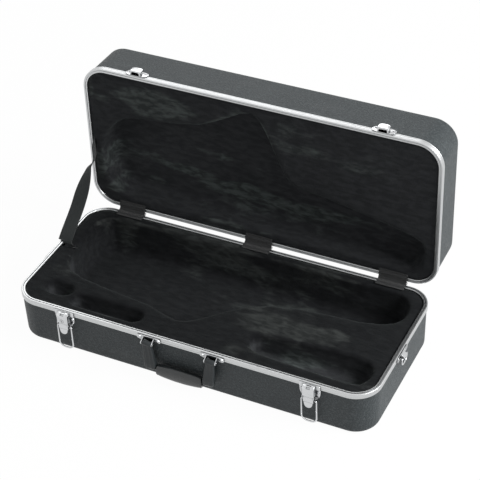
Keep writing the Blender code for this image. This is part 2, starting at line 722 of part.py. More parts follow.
def latch_plate(name, side, has_lock, half_body):
    """The pressed plate with its raised housing and the two ears that carry the lever's pin."""
    foot, half, top = LATCH_PLATE_FOOT, LATCH_PLATE_HALF, LATCH_TOP
    step = PARTING_Z - PARTING_GAP / 2 - VALANCE_HEIGHT
    low = CLEAR - SHELL_STEP
    rows = [
        (top, half - 0.001, CLEAR),
        (top - 0.0008, half, CLEAR),
        (step - 0.0004, half, CLEAR),
        (step - 0.0022, half, low),
    ]
    shield = step - 0.006 - foot
    for share in (0.0, 0.3, 0.55, 0.78, 0.92, 1.0):
        rows.append((foot + shield * (1 - share), 0.0015 + (half - 0.0015) * math.sqrt(1 - share ** 2), low))
    base = half_body.body
    plate = place(name, on_wall(strip(rows, PLATE_SHEET), "front", side), "chrome", base)
    out, wide = HOUSING_OUT, HOUSING_HALF
    edge = 0.0012

    def shell_ring(z, x, far, back):
        points = [(-x, back), (x, back), (x, far - edge), (x - edge, far), (-x + edge, far), (-x, far - edge)]
        return [Vector((px, -po, z)) for px, po in points]

    block = bmesh.new()
    seat, rim_seat = low + PLATE_SHEET / 2, CLEAR + PLATE_SHEET / 2
    loft(block, [
        shell_ring(HOUSING_FOOT, wide, out, seat),
        shell_ring(step - 0.0022, wide, out, seat),
        shell_ring(step - 0.0004, wide, out, rim_seat),
        shell_ring(top - 0.0045, wide, out, rim_seat),
        shell_ring(top - 0.0010, wide - 0.0007, out * 0.62, rim_seat),
    ])
    unite(plate, name + "_housing", on_wall(block, "front", side), base)
    ear = arc(LEVER_PIVOT_OUT, LEVER_PIVOT_Z, 0.0042, 180, 360, 8)
    ear += [(LEVER_PIVOT_OUT + 0.0042, HOUSING_FOOT + 0.002), (LEVER_PIVOT_OUT - 0.0042, HOUSING_FOOT + 0.002)]
    ears = bmesh.new()
    for low_x in (-wide, wide - PLATE_SHEET):
        add_prism(ears, [(-o, z) for o, z in ear], low_x, low_x + PLATE_SHEET, "X")
    unite(plate, name + "_ears", on_wall(ears, "front", side), base)
    hollow = bmesh.new()
    inner = wide - PLATE_SHEET
    back = CLEAR + PLATE_SHEET + 0.0001
    loft(hollow, [
        shell_ring(HOUSING_FOOT - 0.001, inner, out - PLATE_SHEET, back),
        shell_ring(top - 0.0050, inner, out - PLATE_SHEET, back),
        shell_ring(top - 0.0022, inner - 0.0007, out * 0.62 - 0.0006, back),
    ])
    cut(plate, name + "_hollow", on_wall(hollow, "front", side), base)
    details = bmesh.new()
    bore, reach = LATCH_PIN_RADIUS + HOLE_CLEAR, wide + CUT_PAST
    add_lathe(details, [(bore, -reach), (bore, reach)], (0, -LEVER_PIVOT_OUT, LEVER_PIVOT_Z), (1, 0, 0), 10)
    add_prism(details, [(-0.0042, -0.0050), (0.0042, -0.0050), (0.0042, -0.0036), (-0.0042, -0.0036)],
              top - 0.004, top + 0.002, "Z")
    if has_lock:
        bore = LOCK_RADIUS + HOLE_CLEAR
        add_lathe(details, [(bore, out - PLATE_SHEET - CUT_PAST), (bore, out + CUT_PAST)], (0, 0, LOCK_Z),
                  (0, -1, 0), 12)
    cut(plate, name + "_details", on_wall(details, "front", side), base)
    spots = [("front", side + k * LATCH_RIVET_SPACING / 2, LATCH_RIVET_Z) for k in (-1, 1)]
    half_body.rivet(plate, spots, low + PLATE_SHEET)


def latch_lever(name, side, body):
    """The lever: a thumb tab with two arms, pinned to the plate's ears; the bail hooks into its arms."""
    face, t = LEVER_FACE_OUT, LEVER_SHEET
    half = HOUSING_HALF - PLATE_SHEET - CLEAR
    arm_foot = BAIL_PIVOT_Z - 0.0031
    tip = LEVER_TIP
    rows = [(LEVER_TOP, half, face), (arm_foot, half, face), (arm_foot - 0.0015, half - 0.0008, face)]
    run = arm_foot - 0.0015 - tip
    for share in (0.30, 0.55, 0.75, 0.90, 1.0):
        taper = math.sqrt(1 - share ** 2)
        rows.append((tip + run * (1 - share), 0.0012 + (half - 0.0020) * taper, face + 0.0014 * share ** 2))
    lever = place(name, on_wall(strip(rows, t), "front", side), "chrome", body)
    outline = arc(LEVER_PIVOT_OUT, LEVER_PIVOT_Z, 0.0032, 0, 330, 11)
    outline += arc(BAIL_PIVOT_OUT, BAIL_PIVOT_Z, 0.0031, 0, 330, 11)
    outline = [p for p in outline if p[0] < face] + [(face + t / 2, LEVER_TOP - 0.0008), (face + t / 2, arm_foot)]
    arms = bmesh.new()
    for low_x in (-half, half - PLATE_SHEET):
        add_prism(arms, [(-o, z) for o, z in hull(outline)], low_x, low_x + PLATE_SHEET, "X")
    unite(lever, name + "_arms", on_wall(arms, "front", side), body)
    bores = bmesh.new()
    for out, z, radius in (
        (LEVER_PIVOT_OUT, LEVER_PIVOT_Z, LATCH_PIN_RADIUS),
        (BAIL_PIVOT_OUT, BAIL_PIVOT_Z, BAIL_WIRE),
    ):
        bore, reach = radius + HOLE_CLEAR, half + CUT_PAST
        add_lathe(bores, [(bore, -reach), (bore, reach)], (0, -out, z), (1, 0, 0), 10)
    cut(lever, name + "_bores", on_wall(bores, "front", side), body)


def bend(corner, before, after, radius, steps=4):
    """Rounds one corner of a wire's path."""
    a = (before - corner).normalized()
    b = (after - corner).normalized()
    reach = radius / math.tan(a.angle(b) / 2)
    start = corner + a * reach
    centre = corner + (a + b).normalized() * (radius / math.sin(a.angle(b) / 2))
    end = corner + b * reach
    first, last = start - centre, end - centre
    angle = first.angle(last)
    found = []
    for i in range(steps + 1):
        t = i / steps
        found.append(centre + (math.sin((1 - t) * angle) * first + math.sin(t * angle) * last) / math.sin(angle))
    return found


def latch_bail(name, side, body):
    """The wire bail: two legs with their ends turned in through the lever's arms."""
    top, foot = BAIL_PIVOT_Z, BAIL_PIVOT_Z - BAIL_LENGTH
    inner = HOUSING_HALF - 2 * PLATE_SHEET - CLEAR - 0.0006
    y = -BAIL_PIVOT_OUT

    def at(x, z):
        return Vector((x, y, z))

    ends = [at(-inner, top), at(inner, top)]
    corners = [at(-BAIL_HALF, top), at(-BAIL_HALF, foot), at(BAIL_HALF, foot), at(BAIL_HALF, top)]
    path = [ends[0]]
    path += bend(corners[0], ends[0], corners[1], 0.002, 3)
    path += bend(corners[1], corners[0], corners[2], BAIL_CORNER, 5)
    path += bend(corners[2], corners[1], corners[3], BAIL_CORNER, 5)
    path += bend(corners[3], corners[2], ends[1], 0.002, 3)
    path.append(ends[1])
    place(name, on_wall(wire(path, BAIL_WIRE, 8), "front", side), "chrome", body)


def build_latches(base):
    for side_name, side in (("left", -LATCH_SPACING), ("right", LATCH_SPACING)):
        latch_plate(f"latch_plate_{side_name}", side, side_name == "left", base)
        pivot = wall_point("front", side, LEVER_PIVOT_OUT, LEVER_PIVOT_Z)
        lever = Body(f"lever_{side_name}_pivot", pivot)
        latch_lever(f"latch_lever_{side_name}", side, lever)
        hook = wall_point("front", side, BAIL_PIVOT_OUT, BAIL_PIVOT_Z)
        bail = Body(f"bail_{side_name}_pivot", hook, lever)
        latch_bail(f"latch_bail_{side_name}", side, bail)
        head = HOUSING_HALF + CLEAR
        r = LATCH_PIN_RADIUS
        pin = lathe(
            [(r + 0.0006, -head - 0.0004), (r + 0.0006, -head), (r, -head), (r, head), (r + 0.0006, head),
             (r + 0.0006, head + 0.0004)],
            pivot, (1, 0, 0), 10)
        place(f"latch_pin_{side_name}", pin, "steel", base.body)


def build_lock(base):
    """The key barrel in the left latch. Its cam turns down behind the lever's top edge."""
    side = -LATCH_SPACING
    body = Body("lock_pivot", wall_point("front", side, HOUSING_OUT, LOCK_Z), base.body)
    face = HOUSING_OUT + CLEAR
    wall = HOUSING_OUT - PLATE_SHEET - CLEAR
    cam_out = LEVER_FACE_OUT - CLEAR - 0.0012
    collar = LOCK_RADIUS + 0.0009
    barrel = lathe([(0.0016, cam_out + 0.0002), (0.0016, wall - 0.0009), (collar, wall - 0.0009), (collar, wall),
                    (LOCK_RADIUS, wall), (LOCK_RADIUS, face - 0.0003), (LOCK_RADIUS - 0.0004, face)],
                   (0, 0, LOCK_Z), (0, -1, 0), 12)
    made = place("lock_barrel", on_wall(barrel, "front", side), "chrome", body)
    reach = LOCK_Z - LEVER_TOP + 0.0005
    cam = prism([(-0.0016, LOCK_Z - 0.0013), (reach, LOCK_Z - 0.0013), (reach, LOCK_Z + 0.0013),
                 (-0.0016, LOCK_Z + 0.0013)], -cam_out - 0.0012, -cam_out, "Y")
    unite(made, "lock_cam", on_wall(cam, "front", side), body)
    slot = prism([(-0.0005, LOCK_Z - 0.0018), (0.0005, LOCK_Z - 0.0018), (0.0005, LOCK_Z + 0.0018),
                  (-0.0005, LOCK_Z + 0.0018)], -face - 0.001, -face + 0.0014, "Y")
    cut(made, "lock_keyway", on_wall(slot, "front", side), body)


def bail_drop(x):
    """How far the bail's round end has curved back at a distance from its middle."""
    past = max(x - (BAIL_HALF - BAIL_CORNER), 0)
    inner = BAIL_CORNER - BAIL_WIRE - CLEAR
    return inner - math.sqrt(inner ** 2 - min(past, inner) ** 2)


def build_keepers(lid):
    """Winged keeper plates on the lid, each with a hollow bridge whose lip holds the bail."""
    step = PARTING_Z + PARTING_GAP / 2 + VALANCE_HEIGHT
    low = CLEAR - SHELL_STEP
    t = PLATE_SHEET
    floor = BAIL_PIVOT_Z + BAIL_LENGTH - BAIL_WIRE - CLEAR
    lip_in = BAIL_PIVOT_OUT + BAIL_WIRE + 0.0006
    lip_top = floor + 2 * BAIL_WIRE + KEEPER_LIP
    for side_name, side in (("left", -LATCH_SPACING), ("right", LATCH_SPACING)):
        bm = bmesh.new()
        rings = []
        for x, drop in ((-1.0, 0.0052), (-0.90, 0.0026), (-0.66, 0.0006), (-0.4, 0.0), (0.4, 0.0), (0.66, 0.0006),
                        (0.90, 0.0026), (1.0, 0.0052)):
            foot, top = KEEPER_FOOT + drop, KEEPER_TOP - drop
            inner = [(foot, CLEAR), (step + 0.0004, CLEAR), (step + 0.0022, low), (top, low)]
            outer = [(z, o + t) for z, o in inner][::-1]
            rings.append([Vector((x * KEEPER_HALF, -o, z)) for z, o in inner + outer])
        loft(bm, rings)
        name = f"keeper_{side_name}"
        keeper = place(name, on_wall(bm, "front", side), "chrome", lid.body)
        hook = bmesh.new()
        rings = []
        for share in (-1.0, -0.86, -0.68, -0.45, -0.2, 0.2, 0.45, 0.68, 0.86, 1.0):
            x = share * HOOK_HALF
            drop = bail_drop(abs(x))
            outline = [(0.0006, KEEPER_FOOT + 0.0012), (lip_in - 0.0002, KEEPER_FOOT + 0.0020),
                       (lip_in + t, KEEPER_FOOT + 0.0040), (lip_in + t, lip_top - drop - 0.0007),
                       (lip_in + t - 0.0005, lip_top - drop), (lip_in, lip_top - drop), (lip_in, floor - drop),
                       (0.0006, floor - drop)]
            rings.append([Vector((x, -o, z)) for o, z in outline])
        loft(hook, rings)
        unite(keeper, name + "_hook", on_wall(hook, "front", side), lid.body)
        inner_half = HOOK_HALF - HOOK_LEG
        tunnel = [(-inner_half, CLEAR + t), (inner_half, CLEAR + t), (inner_half, lip_in - 0.0024),
                  (inner_half - 0.0022, lip_in - 0.0004), (-inner_half + 0.0022, lip_in - 0.0004),
                  (-inner_half, lip_in - 0.0024)]
        bm = prism([(x, -o) for x, o in tunnel], KEEPER_FOOT - CUT_PAST, floor - t - bail_drop(inner_half), "Z")
        cut(keeper, name + "_tunnel", on_wall(bm, "front", side), lid.body)
        spots = [("front", side + k * KEEPER_RIVET_SPACING / 2, KEEPER_RIVET_Z) for k in (-1, 1)]
        lid.rivet(keeper, spots, low + t)


def bracket_plate(half_length):
    """A flat foot plate with round ends, as a prism on the wall."""
    outline = [(p.x, p.y) for p in obround(0, BRACKET_Z, half_length, BRACKET_HALF_HEIGHT, 5)]
    return prism(outline, -CLEAR - PLATE_SHEET, -CLEAR, "Y")


def build_handle(half):
    base = half.body
    pivot = wall_point("front", HANDLE_PLACE, HANDLE_PIN_OUT, HANDLE_PIN_Z)
    body = Body("handle_pivot", pivot, base)
    gap, t = HANDLE_EAR_GAP / 2, PLATE_SHEET
    for side_name, hand in (("left", -1), ("right", 1)):
        name = f"handle_bracket_{side_name}"
        side = HANDLE_PLACE + hand * HANDLE_HALF_SPAN
        bracket = place(name, on_wall(bracket_plate(BRACKET_HALF), "front", side), "chrome", base)
        outline = arc(HANDLE_PIN_OUT, HANDLE_PIN_Z, HANDLE_EAR_RADIUS, 180, 420, 10)
        outline += [(CLEAR + t / 2, BRACKET_Z + 0.0034), (CLEAR + t / 2, BRACKET_Z - 0.0034)]
        ears = bmesh.new()
        for low_x in (-gap - t, gap):
            add_prism(ears, [(-o, z) for o, z in hull(outline)], low_x, low_x + t, "X")
        unite(bracket, name + "_ears", on_wall(ears, "front", side), base)
        bore, reach = HANDLE_PIN_RADIUS + HOLE_CLEAR, gap + t + CUT_PAST
        bm = lathe([(bore, -reach), (bore, reach)], (0, -HANDLE_PIN_OUT, HANDLE_PIN_Z), (1, 0, 0), 10)
        cut(bracket, name + "_bore", on_wall(bm, "front", side), base)
        spots = [("front", side + k * BRACKET_RIVET_SPACING / 2, BRACKET_Z) for k in (-1, 1)]
        half.rivet(bracket, spots, CLEAR + t)
        head = gap + t + CLEAR
        r = HANDLE_PIN_RADIUS
        pin = lathe([(r + 0.0008, -head - 0.0008), (r + 0.0008, -head), (r, -head), (r, head), (r + 0.0008, head),
                     (r + 0.0008, head + 0.0008)],
                    wall_point("front", side, HANDLE_PIN_OUT, HANDLE_PIN_Z), (1, 0, 0), 10)
        place(f"handle_pin_{side_name}", pin, "chrome", base)
        build_handle_strap(side_name, hand, body)
    build_grip(body)


def soft_ring(x_half, out_half, z, squareness=0.75, steps=16):
    """A rounded section in plan round the handle's own plane."""
    ring = []
    for i in range(steps):
        a = 2 * math.pi * (i + 0.5) / steps
        c, s = math.cos(a), math.sin(a)
        x = x_half * math.copysign(abs(c) ** squareness, c)
        y = out_half * math.copysign(abs(s) ** squareness, s)
        ring.append(Vector((x, y - HANDLE_PIN_OUT, z)))
    return ring


def build_handle_strap(side_name, hand, body):
    """The end of the handle: a loop round the pin that widens and leans in towards the grip."""
    top = HANDLE_PIN_Z
    thin = HANDLE_LOOP_RADIUS - 0.0008
    thick = HANDLE_STRAP_THICK / 2
    drop = top - HANDLE_STRAP_FOOT
    rows = [
        (HANDLE_LOOP_HALF, thin, top + 0.0006),
        (HANDLE_LOOP_HALF, thin, top - 0.008),
        (HANDLE_LOOP_HALF + 0.0008, thin + 0.0003, top - drop * 0.32),
        (HANDLE_STRAP_HALF - 0.0010, thick - 0.0016, top - drop * 0.58),
        (HANDLE_STRAP_HALF, thick, top - drop * 0.76),
        (HANDLE_STRAP_HALF, thick, top - drop * 0.93),
        (HANDLE_STRAP_HALF - 0.0020, thick - 0.0020, top - drop),
    ]
    bm = bmesh.new()
    rings = []
    for x, o, z in rows:
        lean = -hand * HANDLE_STRAP_LEAN * max(top - z, 0) / drop
        rings.append([p + Vector((lean, 0, 0)) for p in soft_ring(x, o, z, 0.5)])
    loft(bm, rings)
    name = f"handle_strap_{side_name}"
    side = HANDLE_PLACE + hand * HANDLE_HALF_SPAN
    strap = place(name, on_wall(bm, "front", side), "leatherette", body)
    loop = lathe([(HANDLE_LOOP_RADIUS, -HANDLE_LOOP_HALF), (HANDLE_LOOP_RADIUS, HANDLE_LOOP_HALF)],
                 (0, -HANDLE_PIN_OUT, HANDLE_PIN_Z), (1, 0, 0), 14)
    unite(strap, name + "_loop", on_wall(loop, "front", side), body)
    bore, reach = HANDLE_PIN_RADIUS + HOLE_CLEAR, HANDLE_LOOP_HALF + CUT_PAST
    bm = lathe([(bore, -reach), (bore, reach)], (0, -HANDLE_PIN_OUT, HANDLE_PIN_Z), (1, 0, 0), 10)
    cut(strap, name + "_bore", on_wall(bm, "front", side), body)


def build_grip(body):
    """The padded bar, fullest and lowest at its middle."""
    end = HANDLE_HALF_SPAN - HANDLE_STRAP_LEAN - HANDLE_STRAP_HALF - CLEAR
    bm = bmesh.new()
    rings = []
    for i in range(9):
        share = i / 4 - 1
        fullness = 1 - GRIP_TAPER * share ** 2
        z = GRIP_Z + GRIP_SAG * share ** 2
        height, thick = GRIP_HEIGHT / 2 * fullness, GRIP_THICKNESS / 2 * (0.8 + 0.2 * fullness)
        ring = []
        for k in range(16):
            a = 2 * math.pi * (k + 0.5) / 16
            c, s = math.cos(a), math.sin(a)
            ring.append(Vector((
                share * end,
                thick * math.copysign(abs(c) ** 0.8, c) - HANDLE_PIN_OUT,
                z + height * math.copysign(abs(s) ** 0.8, s),
            )))
        rings.append(ring)
    loft(bm, rings)
    place("handle_grip", on_wall(bm, "front", HANDLE_PLACE), "leatherette", body)


def build_rings(half):
    """A riveted clip and a D ring on each end wall, for a shoulder strap."""
    base = half.body
    t = PLATE_SHEET
    bore = RING_WIRE + HOLE_CLEAR
    y = -RING_OUT
    for wall in ("left", "right"):
        name = f"ring_bracket_{wall}"
        bracket = place(name, on_wall(bracket_plate(RING_BRACKET_HALF), wall, RING_Y), "chrome", base)
        outline = arc(RING_OUT, RING_PIVOT_Z, bore + t, 180, 420, 10)
        outline += [(CLEAR + t / 2, BRACKET_Z + 0.0030), (CLEAR + t / 2, BRACKET_Z - 0.0030)]
        knuckle = prism([(-o, z) for o, z in hull(outline)], -RING_KNUCKLE_HALF, RING_KNUCKLE_HALF, "X")
        unite(bracket, name + "_knuckle", on_wall(knuckle, wall, RING_Y), base)
        reach = RING_KNUCKLE_HALF + CUT_PAST
        bm = lathe([(bore, -reach), (bore, reach)], (0, y, RING_PIVOT_Z), (1, 0, 0), 10)
        cut(bracket, name + "_bore", on_wall(bm, wall, RING_Y), base)
        spots = [(wall, RING_Y + k * RING_RIVET_SPACING / 2, BRACKET_Z) for k in (-1, 1)]
        half.rivet(bracket, spots, CLEAR + t)
        body = Body(f"ring_{wall}_pivot", wall_point(wall, RING_Y, RING_OUT, RING_PIVOT_Z), base)
        top, foot = RING_PIVOT_Z, RING_PIVOT_Z - RING_DROP
        corners = [Vector((-RING_HALF, y, top)), Vector((-RING_HALF, y, foot)), Vector((RING_HALF, y, foot)),
                   Vector((RING_HALF, y, top))]
        path = []
        for i, radius in enumerate((0.0022, 0.0065, 0.0065, 0.0022)):
            path += bend(corners[i], corners[i - 1], corners[(i + 1) % 4], radius, 4)
        place(f"strap_ring_{wall}", on_wall(wire(path, RING_WIRE, 8, closed=True), wall, RING_Y), "chrome", body)


def opened(point):
    """A point of the shut lid, where it lies with the lid open."""
    turn = Matrix.Rotation(-LID_OPEN, 3, "X")
    return HINGE_AXIS + turn @ (Vector(point) - HINGE_AXIS)


def rise(value, start, end):
    """Rises evenly from 0 at start to 1 at end."""
    return min(max((value - start) / (end - start), 0), 1)


def ease(value, start, end):
    """Rises smoothly from 0 at start to 1 at end."""
    share = rise(value, start, end)
    return share * share * (3 - 2 * share)


def strap_ends():
    """The stay strap's two rivets, in the open case."""
    x = -HALF_LENGTH + STRAP_INSET
    base_end = Vector((x, *STRAP_BASE_ANCHOR))
    lid_end = opened((x, *STRAP_LID_ANCHOR))
    return base_end, lid_end


def build_stay_strap(base, lid):
    """Webbing riveted inside the left wall of each half; it twists on its way up."""
    base_end, lid_end = strap_ends()
    along = (lid_end - base_end).normalized()
    span = (lid_end - base_end).length
    flat = Vector((0, -along.z, along.y))
    half = STRAP_WIDTH / 2
    bm = bmesh.new()
    rings = []
    rows = 26
    for i in range(rows + 1):
        run = -STRAP_END + (span + 2 * STRAP_END) * i / rows
        loosened = rise(run, STRAP_UNTWIST_START, span - STRAP_UNTWIST_LEFT) ** 1.5
        turn = STRAP_TWIST * ease(run, *STRAP_TWIST_RUN) * (1 - loosened)
        across = Matrix.Rotation(turn, 3, along) @ flat * half
        face = along.cross(across).normalized() * (STRAP_THICKNESS / 2)
        reach = half * math.sin(turn)
        indoors = 1 - min(ease(run, *STRAP_LEAN_RUN), ease(span - run, *STRAP_LEAN_LEFT))
        lean = max(reach * indoors, reach - STRAP_OVERHANG)
        centre = base_end + along * run + Vector((lean, 0, 0))
        rings.append([centre - across - face, centre + across - face, centre + across + face, centre - across + face])
    loft(bm, rings)
    strap = place("stay_strap", bm, "webbing", base.body)
    hole = RIVET_RADIUS + HOLE_CLEAR
    for name, end_point, body, shell in (
        ("strap_rivet_base", base_end, base.body, base.shell),
        ("strap_rivet_lid", Vector((base_end.x, *STRAP_LID_ANCHOR)), lid.body, lid.shell),
    ):
        outside = -HALF_LENGTH + SHELL_INSET - CLEAR
        inside = -HALF_LENGTH + STRAP_INSET + STRAP_THICKNESS / 2 + CLEAR
        centre = Vector((0, end_point.y, end_point.z))
        profile = [(RIVET_HEAD_RADIUS * 0.5, outside - RIVET_HEAD), (RIVET_HEAD_RADIUS, outside - RIVET_HEAD * 0.4),
                   (RIVET_HEAD_RADIUS, outside), (RIVET_RADIUS, outside), (RIVET_RADIUS, inside),
                   (RIVET_TAIL_RADIUS + 0.001, inside), (RIVET_TAIL_RADIUS + 0.001, inside + 0.0009)]
        place(name, lathe(profile, centre, (1, 0, 0), RIVET_SIDES), "steel", body)
        reach = SHELL_INNER + SHELL_DRAFT + CUT_PAST
        bore = lathe([(hole, -HALF_LENGTH - CUT_PAST), (hole, -HALF_LENGTH + reach)], centre, (1, 0, 0),
                     RIVET_SIDES)
        cut(shell, name + "_hole", bore, body)
    bores = bmesh.new()
    for centre in (base_end, lid_end):
        add_lathe(bores, [(hole, -CUT_PAST), (hole, CUT_PAST)], centre, (1, 0, 0), RIVET_SIDES)
    cut(strap, "stay_strap_holes", bores, base.body)


def build_hinge_covers(base):
    """Cloth over each hinge, laid from the base's plush across both valances to the lid's plush."""
    half = COVER_THICKNESS / 2
    lift = CLEAR + half
    edge = HALF_WIDTH - VALANCE_WIDTH
    base_face = PARTING_Z - PARTING_GAP / 2 - LINING_BELOW_RIM + lift
    rim_top = PARTING_Z - PARTING_GAP / 2 + 0.0002 + lift
    lid_rim = PARTING_GAP / 2 - TONGUE_HEIGHT - CLEAR - lift
    lid_face = PARTING_GAP / 2 + LINING_BELOW_RIM - lift
    path = [
        Vector((0, edge - COVER_TUCK, base_face)),
        Vector((0, edge - 0.0014, base_face)),
        Vector((0, edge - 0.0006, rim_top)),
        Vector((0, HALF_WIDTH - 0.0010, rim_top)),
        Vector((0, HALF_WIDTH + 0.0006, rim_top + 0.0017)),
        opened((0, HALF_WIDTH - 0.0010, PARTING_Z + lid_rim)),
        opened((0, edge - 0.0006, PARTING_Z + lid_rim)),
        opened((0, edge - 0.0014, PARTING_Z + lid_face)),
        opened((0, edge - COVER_TUCK, PARTING_Z + lid_face)),
    ]
    for side, along in (("left", -HINGE_SPACING), ("center", 0), ("right", HINGE_SPACING)):
        bm = bmesh.new()
        rings = []
        for i, point in enumerate(path):
            before, after = path[max(i - 1, 0)], path[min(i + 1, len(path) - 1)]
            run = (after - before).normalized()
            face = Vector((0, -run.z, run.y)) * half
            low, high = Vector((along - COVER_WIDTH / 2, 0, 0)), Vector((along + COVER_WIDTH / 2, 0, 0))
            rings.append([point + low - face, point + high - face, point + high + face, point + low + face])
        loft(bm, rings)
        place(f"hinge_cover_{side}", bm, "cover_cloth", base)


def main():
    for found in list(bpy.data.objects):
        bpy.data.objects.remove(found, do_unlink=True)
    base = Half("base", False, Body("base_frame", (0, 0, 0)))
    lid = Half("lid", True, Body("lid_hinge_pivot", HINGE_AXIS))

    base_end, lid_end = strap_ends()
    up = (lid_end - base_end).normalized()
    down = Matrix.Rotation(LID_OPEN, 3, "X") @ -up
    insert("base", False, base_pockets(), base.body, base_end, up)
    insert("lid", True, lid_pockets(), lid.body, Vector((base_end.x, *STRAP_LID_ANCHOR)), down)

    build_hinges(base, lid)
    build_latches(base)
    build_lock(base)
    build_keepers(lid)
    build_handle(base)
    build_rings(base)
    build_stay_strap(base, lid)
    build_hinge_covers(base.body)
    base.drill()
    lid.drill()
    lid.body.empty.rotation_euler = (-LID_OPEN, 0, 0)


main()
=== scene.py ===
"""Looks for the alto saxophone case: grained plastic trays, satin valances, chrome hardware, crushed plush and webbing."""

import json
import math

import bmesh
import bpy
from mathutils import Matrix, Vector, noise

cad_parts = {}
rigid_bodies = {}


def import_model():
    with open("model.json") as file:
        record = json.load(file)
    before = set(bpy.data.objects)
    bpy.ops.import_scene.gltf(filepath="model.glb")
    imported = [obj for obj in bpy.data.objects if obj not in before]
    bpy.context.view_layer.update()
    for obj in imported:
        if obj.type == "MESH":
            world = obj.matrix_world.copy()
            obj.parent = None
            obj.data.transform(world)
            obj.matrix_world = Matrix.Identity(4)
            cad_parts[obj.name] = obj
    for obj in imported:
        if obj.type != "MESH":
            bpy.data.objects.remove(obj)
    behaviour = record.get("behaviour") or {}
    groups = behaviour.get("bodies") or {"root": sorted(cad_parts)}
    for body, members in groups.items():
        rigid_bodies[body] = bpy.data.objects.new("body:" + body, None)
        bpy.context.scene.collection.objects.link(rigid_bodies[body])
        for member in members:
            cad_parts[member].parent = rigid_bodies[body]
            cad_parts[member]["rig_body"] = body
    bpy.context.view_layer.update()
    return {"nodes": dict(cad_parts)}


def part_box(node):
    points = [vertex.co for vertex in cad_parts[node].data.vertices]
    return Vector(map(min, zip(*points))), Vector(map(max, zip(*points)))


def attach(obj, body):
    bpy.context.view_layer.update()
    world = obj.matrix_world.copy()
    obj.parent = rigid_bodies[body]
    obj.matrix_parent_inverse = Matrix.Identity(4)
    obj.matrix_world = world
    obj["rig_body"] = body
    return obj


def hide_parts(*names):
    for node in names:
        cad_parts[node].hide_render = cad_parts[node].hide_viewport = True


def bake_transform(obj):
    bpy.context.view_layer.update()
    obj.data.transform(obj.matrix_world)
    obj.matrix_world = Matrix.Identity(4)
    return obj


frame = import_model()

NODES = frame["nodes"]

# The case's own sizes, as the solids have them
rim_low, rim_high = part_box("base_valance")
HALF_LENGTH = rim_high.x
HALF_WIDTH = rim_high.y
CORNER = 0.044
PARTING = 0.087
TOP = 0.173
HINGE = Vector((0, 0.145, PARTING))
OPEN = math.radians(90.5)
PART_GAP = 0.0002
DRAFT = 0.0015
SHELL_INSET = 0.0015
SHELL_INNER = 0.0045
FOAM_INSET = 0.0073
SHELL_EDGE = 0.0031
FLOOR_RADIUS = 0.009
PILE = 0.0026
TAB_CREASE = PARTING - 0.0346


def opened(point):
    """A point of the shut lid, with the lid open."""
    return HINGE + Matrix.Rotation(-OPEN, 3, "X") @ (Vector(point) - HINGE)


OPEN_LID = Matrix.Translation(HINGE) @ Matrix.Rotation(-OPEN, 4, "X") @ Matrix.Translation(-HINGE)


def group(name, inputs, outputs):
    tree = bpy.data.node_groups.new(name, "ShaderNodeTree")
    for label, kind, value in inputs:
        socket = tree.interface.new_socket(label, in_out="INPUT", socket_type=kind)
        socket.default_value = value
    for label, kind in outputs:
        tree.interface.new_socket(label, in_out="OUTPUT", socket_type=kind)
    return tree, tree.nodes.new("NodeGroupInput"), tree.nodes.new("NodeGroupOutput")


def node(tree, kind, links=(), **values):
    """A node whose sockets are set by values, keyed i0, i1 and so on, and fed by links."""
    made = tree.nodes.new(kind)
    for key, value in values.items():
        if key[0] == "i" and key[1:].isdigit():
            made.inputs[int(key[1:])].default_value = value
        else:
            setattr(made, key, value)
    for place, source in links:
        tree.links.new(source, made.inputs[place])
    return made


def ramp(tree, source, stops):
    made = node(tree, "ShaderNodeValToRGB", [(0, source)])
    elements = made.color_ramp.elements
    while len(elements) < len(stops):
        elements.new(0.5)
    for element, (place, level) in zip(elements, stops):
        element.position = place
        element.color = (level, level, level, 1)
    return made.outputs[0]


def mix(tree, factor, low, high):
    """Mixes two colours, given as sockets or values."""
    made = tree.nodes.new("ShaderNodeMix")
    made.data_type = "RGBA"
    for place, value in ((0, factor), (6, low), (7, high)):
        if hasattr(value, "links"):
            tree.links.new(value, made.inputs[place])
        else:
            made.inputs[place].default_value = value
    return made.outputs[2]


